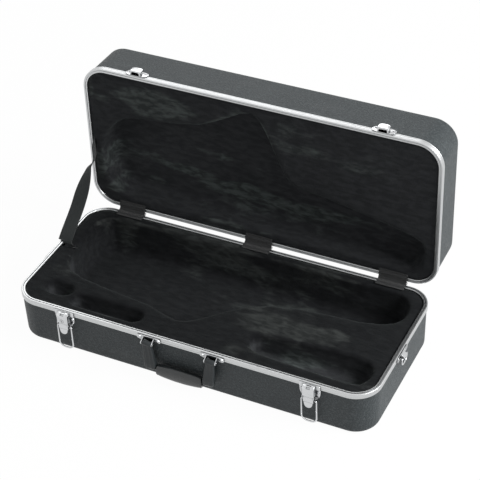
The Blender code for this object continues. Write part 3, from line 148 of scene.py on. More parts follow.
def grain_group():
    """Moulded grain, handling marks and dust: outputs a height, a mask of rubbed places and broad cloudiness."""
    tree, ins, outs = group(
        "moulded_grain",
        [("Grain Scale", "NodeSocketFloat", 900.0), ("Cloud Scale", "NodeSocketFloat", 9.0)],
        [("Height", "NodeSocketFloat"), ("Rub", "NodeSocketFloat"), ("Cloud", "NodeSocketFloat"),
         ("Speck", "NodeSocketFloat")],
    )
    where = node(tree, "ShaderNodeTexCoord").outputs["Object"]
    cells = node(tree, "ShaderNodeTexVoronoi", [("Vector", where), ("Scale", ins.outputs[0])])
    fine = node(tree, "ShaderNodeTexNoise", [("Vector", where), ("Scale", ins.outputs[0])])
    fine.inputs["Detail"].default_value = 2.0
    coarse = node(tree, "ShaderNodeTexNoise", [("Vector", where)])
    coarse.inputs["Scale"].default_value = 330.0
    coarse.inputs["Detail"].default_value = 3.0
    height = node(tree, "ShaderNodeMath", [(0, cells.outputs["Distance"]), (1, fine.outputs[0])], operation="ADD")
    height = node(tree, "ShaderNodeMath", [(0, coarse.outputs[0]), (2, height.outputs[0])], operation="MULTIPLY_ADD",
                  i1=2.0)
    cloud = node(tree, "ShaderNodeTexNoise", [("Vector", where), ("Scale", ins.outputs[1])])
    cloud.inputs["Detail"].default_value = 4.0
    streak_at = node(tree, "ShaderNodeMapping", [(0, where)])
    streak_at.inputs["Scale"].default_value = (14, 60, 60)
    streak = node(tree, "ShaderNodeTexNoise", [("Vector", streak_at.outputs[0])])
    streak.inputs["Scale"].default_value = 1.0
    streak.inputs["Detail"].default_value = 6.0
    rub = ramp(tree, streak.outputs[0], [(0.58, 0), (0.80, 1)])
    tree.links.new(height.outputs[0], outs.inputs[0])
    tree.links.new(rub, outs.inputs[1])
    tree.links.new(cloud.outputs[0], outs.inputs[2])
    tree.links.new(ramp(tree, coarse.outputs[0], [(0.48, 0), (0.62, 1)]), outs.inputs[3])
    return tree


def lines_group():
    """Fine drawn lines along a surface's own U, for extrusions and brushed sheet."""
    tree, ins, outs = group(
        "drawn_lines",
        [("Across", "NodeSocketFloat", 220.0), ("Along", "NodeSocketFloat", 1.2)],
        [("Height", "NodeSocketFloat"), ("Shade", "NodeSocketFloat")],
    )
    uv = node(tree, "ShaderNodeTexCoord").outputs["UV"]
    split = node(tree, "ShaderNodeSeparateXYZ", [(0, uv)])
    u = node(tree, "ShaderNodeMath", [(0, split.outputs[0]), (1, ins.outputs[1])], operation="MULTIPLY")
    v = node(tree, "ShaderNodeMath", [(0, split.outputs[1]), (1, ins.outputs[0])], operation="MULTIPLY")
    joined = node(tree, "ShaderNodeCombineXYZ", [(0, u.outputs[0]), (1, v.outputs[0])])
    fine = node(tree, "ShaderNodeTexNoise", [("Vector", joined.outputs[0])])
    fine.inputs["Scale"].default_value = 1.0
    fine.inputs["Detail"].default_value = 3.0
    shade = ramp(tree, fine.outputs[0], [(0.30, 0), (0.70, 1)])
    tree.links.new(fine.outputs[0], outs.inputs[0])
    tree.links.new(shade, outs.inputs[1])
    return tree


def plush_group():
    """Pile that lies one way here and another there. A mesh attribute says where the pile is brushed flat or bent over
    a rounded lip, painted paler as its sheen and as a highlight. The lift attribute says where pockets and the upright
    lid are painted paler, as painted light against their shade."""
    tree, ins, outs = group(
        "crushed_pile",
        [("Patch Scale", "NodeSocketFloat", 12.0), ("Fibre Scale", "NodeSocketFloat", 1100.0)],
        [("Patch", "NodeSocketFloat"), ("Mottle", "NodeSocketFloat"), ("Height", "NodeSocketFloat"),
         ("Lift", "NodeSocketFloat")],
    )
    where = node(tree, "ShaderNodeTexCoord").outputs["Object"]
    nap_sheen = node(tree, "ShaderNodeAttribute", attribute_name="nap_sheen").outputs["Fac"]
    stretched = node(tree, "ShaderNodeMapping", [(0, where)])
    stretched.inputs["Scale"].default_value = (0.42, 1.05, 1.15)
    bend = node(tree, "ShaderNodeTexNoise", [("Vector", stretched.outputs[0])])
    bend.inputs["Scale"].default_value = 52.0
    bend.inputs["Detail"].default_value = 3.0
    shift = node(tree, "ShaderNodeVectorMath", [(0, bend.outputs[1])], operation="SCALE")
    shift.inputs["Scale"].default_value = 0.014
    moved = node(tree, "ShaderNodeVectorMath", [(0, stretched.outputs[0]), (1, shift.outputs[0])], operation="ADD")
    large = node(tree, "ShaderNodeTexNoise", [("Vector", moved.outputs[0]), ("Scale", ins.outputs[0])])
    large.inputs["Detail"].default_value = 5.0
    large.inputs["Roughness"].default_value = 0.57
    pushed = node(tree, "ShaderNodeMath", [(0, nap_sheen), (2, large.outputs[0])], operation="MULTIPLY_ADD", i1=0.19)
    patch = ramp(tree, pushed.outputs[0], [(0.585, 0), (0.665, 1)])
    small = node(tree, "ShaderNodeTexNoise", [("Vector", moved.outputs[0])])
    small.inputs["Scale"].default_value = 115.0
    small.inputs["Detail"].default_value = 4.0
    mottle = ramp(tree, small.outputs[0], [(0.40, 0), (0.62, 1)])
    fibre = node(tree, "ShaderNodeTexNoise", [("Vector", where), ("Scale", ins.outputs[1])])
    fibre.inputs["Detail"].default_value = 2.0
    tufts = node(tree, "ShaderNodeTexNoise", [("Vector", moved.outputs[0])])
    tufts.inputs["Scale"].default_value = 210.0
    tufts.inputs["Detail"].default_value = 3.0
    height = node(tree, "ShaderNodeMath", [(0, fibre.outputs[0]), (1, tufts.outputs[0])], operation="ADD")
    tree.links.new(patch, outs.inputs[0])
    tree.links.new(mottle, outs.inputs[1])
    tree.links.new(height.outputs[0], outs.inputs[2])
    lift = node(tree, "ShaderNodeAttribute", attribute_name="lift").outputs["Fac"]
    tree.links.new(lift, outs.inputs[3])
    return tree


def weave_group():
    """A plain weave in a surface's own UV, which is in metres."""
    tree, ins, outs = group(
        "plain_weave",
        [("Thread", "NodeSocketFloat", 900.0), ("Rib", "NodeSocketFloat", 1.0)],
        [("Height", "NodeSocketFloat"), ("Shade", "NodeSocketFloat")],
    )
    uv = node(tree, "ShaderNodeTexCoord").outputs["UV"]
    split = node(tree, "ShaderNodeSeparateXYZ", [(0, uv)])

    def wave(source, shift):
        turned = node(tree, "ShaderNodeMath", [(0, source), (1, ins.outputs[0])], operation="MULTIPLY")
        turned = node(tree, "ShaderNodeMath", [(0, turned.outputs[0])], operation="ADD", i1=shift)
        made = node(tree, "ShaderNodeMath", [(0, turned.outputs[0])], operation="SINE")
        return made.outputs[0]

    across, along = wave(split.outputs[0], 0.0), wave(split.outputs[1], 0.0)
    crossed = node(tree, "ShaderNodeMath", [(0, across), (1, along)], operation="MULTIPLY")
    ribbed = node(tree, "ShaderNodeMath", [(0, across), (1, ins.outputs[1])], operation="MULTIPLY")
    height = node(tree, "ShaderNodeMath", [(0, crossed.outputs[0]), (1, ribbed.outputs[0])], operation="ADD")
    shade = node(tree, "ShaderNodeMapRange", [(0, height.outputs[0])], i1=-1.5, i2=1.5, i3=0.0, i4=1.0)
    tree.links.new(height.outputs[0], outs.inputs[0])
    tree.links.new(shade.outputs[0], outs.inputs[1])
    return tree


def nook_shade_group():
    """Painted shade in the nooks between pressed metal parts, from ambient occlusion: 0 deep in a nook, 1 in the open.
    """
    tree, ins, outs = group(
        "painted_nook_shade",
        [("Reach", "NodeSocketFloat", 0.0035), ("Shut", "NodeSocketFloat", 0.30), ("Clear", "NodeSocketFloat", 0.82)],
        [("Open", "NodeSocketFloat")],
    )
    shelter = node(tree, "ShaderNodeAmbientOcclusion", [("Distance", ins.outputs[0])], samples=8)
    links = [(0, shelter.outputs["AO"]), (1, ins.outputs[1]), (2, ins.outputs[2])]
    open_air = node(tree, "ShaderNodeMapRange", links, i3=0.0, i4=1.0)
    tree.links.new(open_air.outputs[0], outs.inputs[0])
    return tree


GRAIN, LINES, PLUSH, WEAVE, NOOK_SHADE = grain_group(), lines_group(), plush_group(), weave_group(), nook_shade_group()


class Look:
    """A material round one Principled BSDF."""

    def __init__(self, name, **values):
        self.material = bpy.data.materials.new(name)
        self.material.use_nodes = True
        self.tree = self.material.node_tree
        self.shader = self.tree.nodes["Principled BSDF"]
        for key, value in values.items():
            self.shader.inputs[key.replace("_", " ")].default_value = value

    def group(self, tree, **values):
        made = self.tree.nodes.new("ShaderNodeGroup")
        made.node_tree = tree
        for key, value in values.items():
            made.inputs[key.replace("_", " ")].default_value = value
        return made.outputs

    def bump(self, height, distance, strength=1.0):
        made = node(self.tree, "ShaderNodeBump", [("Height", height)])
        made.inputs["Distance"].default_value = distance
        made.inputs["Strength"].default_value = strength
        self.tree.links.new(made.outputs[0], self.shader.inputs["Normal"])

    def colour(self, factor, low, high):
        self.tree.links.new(mix(self.tree, factor, (*low, 1), (*high, 1)), self.shader.inputs["Base Color"])

    def roughness(self, factor, low, high):
        made = node(self.tree, "ShaderNodeMapRange", [(0, factor)], i1=0.0, i2=1.0, i3=low, i4=high)
        self.tree.links.new(made.outputs[0], self.shader.inputs["Roughness"])


def make_looks():
    looks = {}
    abs_look = Look("grained_abs", Specular_IOR_Level=0.32)
    out = abs_look.group(GRAIN, Grain_Scale=620.0, Cloud_Scale=8.0)
    smoky = mix(abs_look.tree, out["Cloud"], (0.0178, 0.0228, 0.0248, 1), (0.0224, 0.0282, 0.0305, 1))
    speck = mix(abs_look.tree, out["Speck"], smoky, (0.0385, 0.0465, 0.0495, 1))
    abs_look.tree.links.new(speck, abs_look.shader.inputs["Base Color"])
    abs_look.roughness(out["Rub"], 0.50, 0.38)
    abs_look.bump(out["Height"], 0.00045, 0.8)
    looks["abs"] = abs_look.material

    rim = Look("satin_valance", Metallic=1.0)
    out = rim.group(LINES, Across=2600.0, Along=3.0)
    nook_shading = rim.group(NOOK_SHADE, Reach=0.0030)
    drawn = mix(rim.tree, out["Shade"], (0.50, 0.51, 0.515, 1), (0.62, 0.63, 0.635, 1))
    # painted shade: the rim's colour goes dark where nearby parts shelter it
    nook_shaded = mix(rim.tree, nook_shading["Open"], (0.10, 0.105, 0.11, 1), drawn)
    rim.tree.links.new(nook_shaded, rim.shader.inputs["Base Color"])
    rim.roughness(out["Shade"], 0.26, 0.40)
    rim.bump(out["Height"], 0.00012, 0.5)
    looks["valance"] = rim.material

    chrome = Look("chrome_plate", Metallic=1.0)
    out = chrome.group(GRAIN, Grain_Scale=260.0, Cloud_Scale=120.0)
    nook_shading = chrome.group(NOOK_SHADE, Reach=0.0060, Shut=0.54, Clear=0.96)
    plated = mix(chrome.tree, out["Rub"], (0.60, 0.61, 0.62, 1), (0.48, 0.49, 0.50, 1))
    # painted shade: the chrome's colour goes dark where nearby parts shelter it
    nook_shaded = mix(chrome.tree, nook_shading["Open"], (0.07, 0.075, 0.08, 1), plated)
    chrome.tree.links.new(nook_shaded, chrome.shader.inputs["Base Color"])
    chrome.roughness(out["Cloud"], 0.07, 0.20)
    chrome.bump(out["Cloud"], 0.0002, 0.10)
    looks["chrome"] = chrome.material

    steel = Look("zinc_steel", Metallic=1.0)
    out = steel.group(GRAIN, Grain_Scale=700.0, Cloud_Scale=60.0)
    nook_shading = steel.group(NOOK_SHADE, Reach=0.0035)
    zinc = mix(steel.tree, out["Cloud"], (0.50, 0.50, 0.51, 1), (0.66, 0.66, 0.66, 1))
    # painted shade: the steel's colour goes dark where nearby parts shelter it
    nook_shaded = mix(steel.tree, nook_shading["Open"], (0.09, 0.09, 0.09, 1), zinc)
    steel.tree.links.new(nook_shaded, steel.shader.inputs["Base Color"])
    steel.roughness(out["Cloud"], 0.24, 0.42)
    steel.bump(out["Height"], 0.00008, 0.3)
    looks["steel"] = steel.material

    plush = Look("crushed_plush", Roughness=0.95, Specular_IOR_Level=0.04, Sheen_Weight=0.06, Sheen_Roughness=0.5,
                 Sheen_Tint=(0.62, 0.70, 0.69, 1))
    out = plush.group(PLUSH, Patch_Scale=11.0)
    dark = mix(plush.tree, out["Mottle"], (0.0074, 0.0077, 0.0086, 1), (0.0111, 0.0116, 0.0126, 1))
    # painted light: paler colours where the lift attribute is high, over the lid and deep in pockets, against their
    # shade
    dark_lit = mix(plush.tree, out["Mottle"], (0.0240, 0.0250, 0.0272, 1), (0.0345, 0.0362, 0.0388, 1))
    dark = mix(plush.tree, out["Lift"], dark, dark_lit)
    # paler colours on brushed pile and rounded lips: real brushing, with its sheen and the lip highlights painted in
    pale = mix(plush.tree, out["Mottle"], (0.0165, 0.0177, 0.0178, 1), (0.0355, 0.0382, 0.0374, 1))
    pale_lit = mix(plush.tree, out["Mottle"], (0.0290, 0.0332, 0.0334, 1), (0.0680, 0.0780, 0.0768, 1))
    pale = mix(plush.tree, out["Lift"], pale, pale_lit)
    plush.tree.links.new(mix(plush.tree, out["Patch"], dark, pale), plush.shader.inputs["Base Color"])
    plush.bump(out["Height"], 0.0012, 0.6)
    looks["plush"] = plush.material

    webbing = Look("webbing", Roughness=0.85, Specular_IOR_Level=0.2, Sheen_Weight=0.15, Sheen_Roughness=0.5)
    out = webbing.group(WEAVE, Thread=4200.0, Rib=0.35)
    webbing.colour(out["Shade"], (0.0085, 0.0108, 0.0110), (0.027, 0.0325, 0.033))
    webbing.bump(out["Height"], 0.00035, 0.9)
    looks["webbing"] = webbing.material

    cover = Look("cover_cloth", Roughness=0.9, Sheen_Weight=0.12, Sheen_Roughness=0.5)
    out = cover.group(WEAVE, Thread=5200.0, Rib=0.0)
    cover.colour(out["Shade"], (0.0060, 0.0064, 0.0070), (0.0150, 0.0158, 0.0165))
    cover.bump(out["Height"], 0.00025, 0.8)
    looks["cover_cloth"] = cover.material

    grip = Look("handle_cover", Specular_IOR_Level=0.55, Coat_Weight=0.25, Coat_Roughness=0.14)
    out = grip.group(GRAIN, Grain_Scale=520.0, Cloud_Scale=35.0)
    grip.colour(out["Cloud"], (0.0095, 0.0112, 0.0120), (0.0175, 0.0202, 0.0216))
    grip.roughness(out["Cloud"], 0.22, 0.38)
    grip.bump(out["Height"], 0.00025, 0.6)
    looks["grip"] = grip.material

    end = Look("handle_end", Specular_IOR_Level=0.3)
    out = end.group(GRAIN, Grain_Scale=700.0, Cloud_Scale=40.0)
    end.colour(out["Cloud"], (0.0170, 0.0205, 0.0220), (0.0280, 0.0325, 0.0345))
    end.roughness(out["Rub"], 0.42, 0.30)
    end.bump(out["Height"], 0.0002, 0.5)
    looks["handle_end"] = end.material

    thread = Look("stitch_thread", Roughness=0.6)
    out = thread.group(GRAIN, Grain_Scale=2500.0, Cloud_Scale=300.0)
    thread.colour(out["Cloud"], (0.03, 0.032, 0.033), (0.07, 0.075, 0.075))
    thread.bump(out["Height"], 0.0001, 0.5)
    looks["thread"] = thread.material
    return looks


LOOKS = make_looks()


def piece(name, bm, look, body, nodes=(), angle=35.0, lid=False):
    """Makes an object of a bmesh. A lid piece is drawn shut and turned open."""
    if lid:
        bm.transform(OPEN_LID)
    bmesh.ops.recalc_face_normals(bm, faces=bm.faces)
    mesh = bpy.data.meshes.new(name)
    bm.to_mesh(mesh)
    bm.free()
    mesh.shade_smooth()
    if angle:
        mesh.set_sharp_from_angle(angle=math.radians(angle))
    mesh.materials.append(LOOKS[look])
    made = bpy.data.objects.new(name, mesh)
    bpy.context.scene.collection.objects.link(made)
    if body:
        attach(made, body)
    if nodes:
        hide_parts(*nodes)
    return made


def skin(bm, rings, closed_along=False, closed_around=True, caps=True, scale=(1.0, 1.0)):
    """Skins rings of points and lays a UV in metres: U along the loft, V around each ring."""
    uv = bm.loops.layers.uv.verify()
    rows = [[bm.verts.new(p) for p in ring] for ring in rings]
    count = len(rows[0])
    along = [0.0]
    for a, b in zip(rings, rings[1:]):
        along.append(along[-1] + (Vector(b[0]) - Vector(a[0])).length)
    around = [0.0]
    first = rings[len(rings) // 2]
    for k in range(count):
        around.append(around[-1] + (Vector(first[(k + 1) % count]) - Vector(first[k])).length)
    total = len(rows) if closed_along else len(rows) - 1
    for i in range(total):
        a, b = rows[i], rows[(i + 1) % len(rows)]
        end = along[i + 1] if i + 1 < len(along) else along[-1] + (rings[0][0] - rings[-1][0]).length
        for k in range(count if closed_around else count - 1):
            m = (k + 1) % count
            face = bm.faces.new((a[k], a[m], b[m], b[k]))
            spots = ((along[i], around[k]), (along[i], around[k + 1]), (end, around[k + 1]), (end, around[k]))
            for loop, (u, v) in zip(face.loops, spots):
                loop[uv].uv = (u * scale[0], v * scale[1])
    if caps and not closed_along:
        bm.faces.new(rows[0])
        bm.faces.new(rows[-1])
    return rows


def arc(cx, cy, radius, start, end, steps):
    angles = [math.radians(start + (end - start) * i / steps) for i in range(steps + 1)]
    return [(cx + radius * math.cos(a), cy + radius * math.sin(a)) for a in angles]


def outline(inset, steps=20, straight=12):
    """The case's outline in plan, drawn in by inset, with extra points along its sides."""
    radius = CORNER - inset
    x, y = HALF_LENGTH - CORNER, HALF_WIDTH - CORNER
    corners = []
    for cx, cy, start in ((x, y, 0), (-x, y, 90), (-x, -y, 180), (x, -y, 270)):
        corners.append(arc(cx, cy, radius, start, start + 90, steps))
    ring = []
    for i, corner in enumerate(corners):
        ring += corner
        (ax, ay), (bx, by) = corner[-1], corners[(i + 1) % 4][0]
        ring += [(ax + (bx - ax) * k / straight, ay + (by - ay) * k / straight) for k in range(1, straight)]
    return ring


def ring_at(inset, z):
    return [Vector((x, y, z)) for x, y in outline(inset)]


def tray_piece(name, is_lid, body, cad):
    """A moulded tray with a drafted wall and a smooth floor edge."""
    depth = TOP - PARTING if is_lid else PARTING

    def height(h):
        return TOP - h if is_lid else h

    def draft(h):
        return DRAFT * (1 - h / depth)

    rings = []
    for inset, floor, radius in ((SHELL_INSET, 0.0, FLOOR_RADIUS), (SHELL_INNER, 0.003, FLOOR_RADIUS - 0.003)):
        wall = []
        start = floor + radius
        for k in range(7):
            h = depth - SHELL_EDGE + (start - depth + SHELL_EDGE) * k / 6
            wall.append(ring_at(inset + draft(h), height(h)))
        base_inset = inset + draft(start)
        for u, h in arc(base_inset + radius, start, radius, 180, 270, 10)[1:]:
            wall.append(ring_at(u, height(h)))
        rings.append(wall)
    bm = bmesh.new()
    skin(bm, rings[0][::-1] + rings[1])
    return piece(name, bm, "abs", body, [cad], lid=is_lid)


def valance_piece(name, is_lid, body, cad):
    """The extruded edge with its eased corner and the shallow bead lines that run along its face."""
    side = 1 if is_lid else -1
    seam_half = 0.0004 if is_lid else 0.0009
    seam = -0.0009 if is_lid else 0.0012
    ease = 0.0009
    profile = [(0.0, 0.0090), (0.0, 0.0076)]
    profile += [(0.00022, 0.0073), (0.00022, 0.0069), (0.0, 0.0066), (0.0, 0.0030)]
    profile += [(0.00022, 0.0027), (0.00022, 0.0023), (0.0, 0.0020)]
    profile += [(u, d) for u, d in arc(ease, ease, ease, 180, 270, 5)]
    profile += [(0.0035 - seam_half, 0.0), (0.0035 - seam_half, seam), (0.0035 + seam_half, seam),
                (0.0035 + seam_half, 0.0), (0.0062, 0.0)]
    profile += [(u, d) for u, d in arc(0.0062, 0.0008, 0.0008, 270, 360, 4)]
    profile += [(0.0070, 0.0038), (0.0058, 0.0038), (0.0058, 0.0026), (0.0012, 0.0026), (0.0012, 0.0090)]
    bm = bmesh.new()
    uv = bm.loops.layers.uv.verify()
    rings = [ring_at(u, PARTING + side * (PART_GAP + d)) for u, d in profile]
    rows = [[bm.verts.new(p) for p in ring] for ring in rings]
    count = len(rows[0])
    length = [0.0]
    for k in range(count):
        length.append(length[-1] + (rings[0][(k + 1) % count] - rings[0][k]).length)
    run = [0.0]
    for i in range(len(profile)):
        u, d = profile[i]
        v, e = profile[(i + 1) % len(profile)]
        run.append(run[-1] + math.hypot(v - u, e - d))
    for i in range(len(rows)):
        a, b = rows[i], rows[(i + 1) % len(rows)]
        for k in range(count):
            m = (k + 1) % count
            face = bm.faces.new((a[k], a[m], b[m], b[k]))
            spots = ((length[k], run[i]), (length[k + 1], run[i]), (length[k + 1], run[i + 1]), (length[k], run[i + 1]))
            for loop, spot in zip(face.loops, spots):
                loop[uv].uv = spot
    return piece(name, bm, "valance", body, [cad], angle=50, lid=is_lid)


# Where the pile is brushed flat, with its sheen painted in as paler colour: half, place in the shut case's plan, half
# sizes and strength
BRUSHED_SHEEN = [
    (True, -0.291, -0.071, 0.022, 0.016, 0.70),
    (True, -0.194, -0.095, 0.060, 0.018, 0.90),
    (True, -0.209, -0.069, 0.045, 0.010, 0.75),
    (True, -0.291, -0.032, 0.012, 0.030, 0.60),
    (True, -0.277, 0.104, 0.022, 0.012, 0.80),
    (True, -0.222, 0.098, 0.030, 0.010, 0.80),
    (True, -0.150, 0.060, 0.060, 0.013, 0.80),
    (True, -0.085, 0.072, 0.060, 0.014, 0.90),
    (True, -0.016, 0.078, 0.055, 0.012, 0.90),
    (True, 0.068, 0.080, 0.055, 0.011, 0.85),
    (True, 0.150, 0.078, 0.060, 0.010, 0.80),
    (True, -0.110, 0.012, 0.060, 0.010, 0.75),
    (True, -0.020, 0.016, 0.050, 0.008, 0.65),
    (True, -0.313, -0.060, 0.006, 0.050, 0.65),
    (True, -0.032, -0.090, 0.012, 0.030, 0.55),
    (True, 0.060, 0.015, 0.030, 0.014, 0.50),
    (True, 0.111, 0.011, 0.030, 0.014, 0.50),
    (True, 0.210, -0.096, 0.050, 0.012, 0.30),
    (True, -0.309, 0.052, 0.008, 0.040, 0.50),
    (False, -0.244, 0.108, 0.020, 0.015, 0.60),
    (False, -0.272, 0.092, 0.012, 0.018, 0.50),
    (False, -0.088, 0.125, 0.080, 0.007, 0.50),
    (False, 0.037, -0.007, 0.050, 0.010, 0.60),
    (False, 0.118, 0.014, 0.050, 0.010, 0.60),
    (False, 0.216, 0.034, 0.050, 0.012, 0.60),
    (False, 0.050, -0.044, 0.070, 0.024, 0.75),
    (False, 0.140, -0.040, 0.065, 0.028, 0.90),
    (False, 0.218, -0.033, 0.045, 0.026, 0.90),
    (False, -0.020, -0.060, 0.035, 0.014, 0.55),
    (False, -0.275, -0.050, 0.030, 0.012, 0.60),
    (False, -0.250, -0.084, 0.020, 0.010, 0.50),
    (False, -0.154, -0.066, 0.020, 0.010, 0.50),
    (False, -0.105, -0.059, 0.020, 0.010, 0.50),
]


def brushed_sheen_at(point, is_lid):
    """How flat the pile lies at a point, from 0 to 1; where it lies flat it is painted paler, a painted sheen."""
    found = 0.0
    for on_lid, cx, cy, half_x, half_y, strength in BRUSHED_SHEEN:
        if on_lid == is_lid:
            reach = math.hypot((point.x - cx) / half_x, (point.y - cy) / half_y)
            found = max(found, strength * min(max(1.6 - reach, 0.0), 1.0))
    return found


def painted_light_at(point, drop, is_lid):
    """Painted light, from 0 to 1: the plush painted paler over the whole lid and more in its pocket, in the small front
    pockets and deep in the base's pockets, most towards its right end, against the shade there.
    """
    if is_lid:
        return 0.58 + 0.42 * min(drop / 0.020, 1.0)
    small = min(max((drop - 0.004) / 0.012, 0.0), 1.0) * min(max((0.010 - point.y) / 0.020, 0.0), 1.0)
    small *= 1.0 - min(max((drop - 0.036) / 0.008, 0.0), 1.0)
    right_end = min(max((point.x - 0.16) / 0.06, 0.0), 1.0)
    return max(small, (0.28 + 0.42 * right_end) * min(max((drop - 0.006) / 0.030, 0.0), 1.0))


def lip_highlight_at(v):
    """Painted highlight on a rounded lip of the pile, from 0 to 1, stronger where the surface bends out more."""
    bends = []
    for e in v.link_edges:
        w = e.other_vert(v)
        apart = w.co - v.co
        bends.append((w.normal - v.normal).dot(apart) / max(apart.length_squared, 1e-12))
    if not bends:
        return 0.0
    return 0.62 * min(max((sum(bends) / len(bends) - 35.0) / 50.0, 0.0), 1.0)


def depth_inside(point):
    """How far a point lies inside the case's outline in plan, and the way out to it."""
    dx = abs(point.x) - (HALF_LENGTH - CORNER)
    dy = abs(point.y) - (HALF_WIDTH - CORNER)
    if dx > 0 and dy > 0:
        reach = math.hypot(dx, dy)
        way = Vector((math.copysign(dx / reach, point.x), math.copysign(dy / reach, point.y), 0))
        return CORNER - reach, way
    if dx > dy:
        return HALF_LENGTH - abs(point.x), Vector((math.copysign(1, point.x), 0, 0))
    return HALF_WIDTH - abs(point.y), Vector((0, math.copysign(1, point.y), 0))


def plush_piece(name, is_lid, body, foam, nodes):
    """The foam insert in its plush: the block remeshed, its pockets softened and stood off by the pile, then new sides
    that meet the valance and run down inside the tray, with a notch where the stay strap goes down."""
    source = NODES[foam]
    mesh = source.data.copy()
    if is_lid:
        mesh.transform(OPEN_LID.inverted())
    work = bpy.data.objects.new(name, mesh)
    bpy.context.scene.collection.objects.link(work)
    remesh = work.modifiers.new("remesh", "REMESH")
    remesh.mode = "VOXEL"
    remesh.voxel_size = 0.0026
    smooth = work.modifiers.new("soften", "SMOOTH")
    smooth.factor = 0.5
    smooth.iterations = 9
    depsgraph = bpy.context.evaluated_depsgraph_get()
    evaluated = bpy.data.meshes.new_from_object(work.evaluated_get(depsgraph))
    bpy.data.objects.remove(work, do_unlink=True)
    bm = bmesh.new()
    bm.from_mesh(evaluated)
    bpy.data.meshes.remove(evaluated)
    bm.normal_update()
    towards = -1 if is_lid else 1
    floor = TOP if is_lid else 0.0
    outside = []
    for face in bm.faces:
        middle = face.calc_center_median()
        low = (middle.z - floor) * towards < 0.0078
        if low or depth_inside(middle)[0] < 0.0150:
            outside.append(face)
    bmesh.ops.delete(bm, geom=outside, context="FACES")
    bm.normal_update()
    for v in bm.verts:
        v.co += v.normal * PILE
    edge = [e for e in bm.edges if len(e.link_faces) == 1]
    face_z = PARTING - towards * 0.0028
    notch, notch_half = (0.0254, 0.0203) if is_lid else (0.0292, 0.0196)
    rows = ((0.0110, 0.0), (0.0082, 0.0), (0.0075, 0.0005), (0.0075, 0.0030), (0.0078, 0.0120), (0.0092, 0.0745),
            (0.0110, 0.0795), (0.0150, 0.0808))
    for inset, drop in rows:
        made = bmesh.ops.extrude_edge_only(bm, edges=edge)["geom"]
        edge = [g for g in made if isinstance(g, bmesh.types.BMEdge)]
        for v in {v for e in edge for v in e.verts}:
            depth, way = depth_inside(v.co)
            room = 0.0
            if v.co.x < 0 and way.x < -0.9:
                room = 0.0046 * min(max((notch_half + 0.001 - abs(v.co.y - notch)) / 0.002, 0.0), 1.0)
            v.co += way * (depth - max(inset, 0.0075 + room if drop < 0.03 else 0))
            v.co.z = face_z - towards * drop * (0.985 if is_lid else 1.0)
    bmesh.ops.holes_fill(bm, edges=edge, sides=0)
    bm.normal_update()
    nap_sheen = bm.verts.layers.float.new("nap_sheen")
    lift = bm.verts.layers.float.new("lift")
    # painted sheen and highlight where the pile is brushed or bends over a lip; painted light over the lid and in
    # pockets
    for v in bm.verts:
        v[nap_sheen] = max(brushed_sheen_at(v.co, is_lid), lip_highlight_at(v))
        v[lift] = painted_light_at(v.co, abs(v.co.z - face_z), is_lid)
    moves = []
    for v in bm.verts:
        p = v.co
        broad = noise.noise(p * 16.0 + Vector((3.1, 7.7, 1.3)))
        lumps = noise.noise(p * 55.0 + Vector((9.4, 2.2, 5.8)))
        tufts = noise.noise(p * 160.0)
        depth = depth_inside(p)[0]
        free = min(max((depth - 0.0080) / 0.006, 0.0), 1.0)
        moves.append(v.normal * free * (0.0005 * broad + 0.0006 * lumps + 0.0003 * tufts))
    for v, move in zip(bm.verts, moves):
        v.co += move
    made = piece(name, bm, "plush", body, nodes, angle=0, lid=is_lid)
    return made


def narrow_tab(bm, middle):
    """Creases the lever's sheet where it leaves its arms, and draws the thumb tab in below the crease."""
    for z in (TAB_CREASE + 0.0007, TAB_CREASE, TAB_CREASE - 0.0007):
        geom = bm.verts[:] + bm.edges[:] + bm.faces[:]
        bmesh.ops.bisect_plane(bm, geom=geom, plane_co=(0, 0, z), plane_no=(0, 0, 1))
    for v in bm.verts:
        if abs(v.co.z - TAB_CREASE) < 0.00005:
            v.co.y += 0.0006
        if v.co.z < TAB_CREASE - 0.0003:
            v.co.x = middle + (v.co.x - middle) * 0.94


def slot_housing(bm, middle):
    """Cuts the shallow slot into the sloping top of a latch's housing."""
    sloping = [f for f in bm.faces if f.normal.y < -0.3 and f.normal.z > 0.3 and f.calc_area() > 0.00004]
    for face in sloping:
        bmesh.ops.inset_individual(bm, faces=[face], thickness=0.0010)
        for v in face.verts:
            v.co.x = middle + (v.co.x - middle) * 0.42
        bmesh.ops.inset_individual(bm, faces=[face], thickness=0.00005, depth=-0.0011)


def refined(name, look, bevel=0.00025, segments=2, angle=32):
    """A CAD node again, with its edges eased, so they catch the light as pressed metal does."""
    source = NODES[name]
    made = bpy.data.objects.new(name + "_eased", source.data.copy())
    bpy.context.scene.collection.objects.link(made)
    bm = bmesh.new()
    bm.from_mesh(made.data)
    bmesh.ops.remove_doubles(bm, verts=bm.verts, dist=0.00001)
    bmesh.ops.dissolve_limit(bm, angle_limit=math.radians(1.0), verts=bm.verts, edges=bm.edges)
    low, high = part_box(name)
    if name.startswith("latch_lever"):
        narrow_tab(bm, (low.x + high.x) / 2)
    elif name.startswith("latch_plate"):
        slot_housing(bm, (low.x + high.x) / 2)
    bm.to_mesh(made.data)
    bm.free()
    made.data.materials.clear()
    made.data.materials.append(LOOKS[look])
    easing = made.modifiers.new("ease", "BEVEL")
    easing.width = bevel
    easing.segments = segments
    easing.limit_method = "ANGLE"
    easing.angle_limit = math.radians(angle)
    easing.use_clamp_overlap = True
    easing.harden_normals = False
    depsgraph = bpy.context.evaluated_depsgraph_get()
    mesh = bpy.data.meshes.new_from_object(made.evaluated_get(depsgraph))
    made.modifiers.clear()
    made.data = mesh
    mesh.shade_smooth()
    mesh.set_sharp_from_angle(angle=math.radians(40))
    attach(made, source["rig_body"])
    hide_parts(name)
    return made


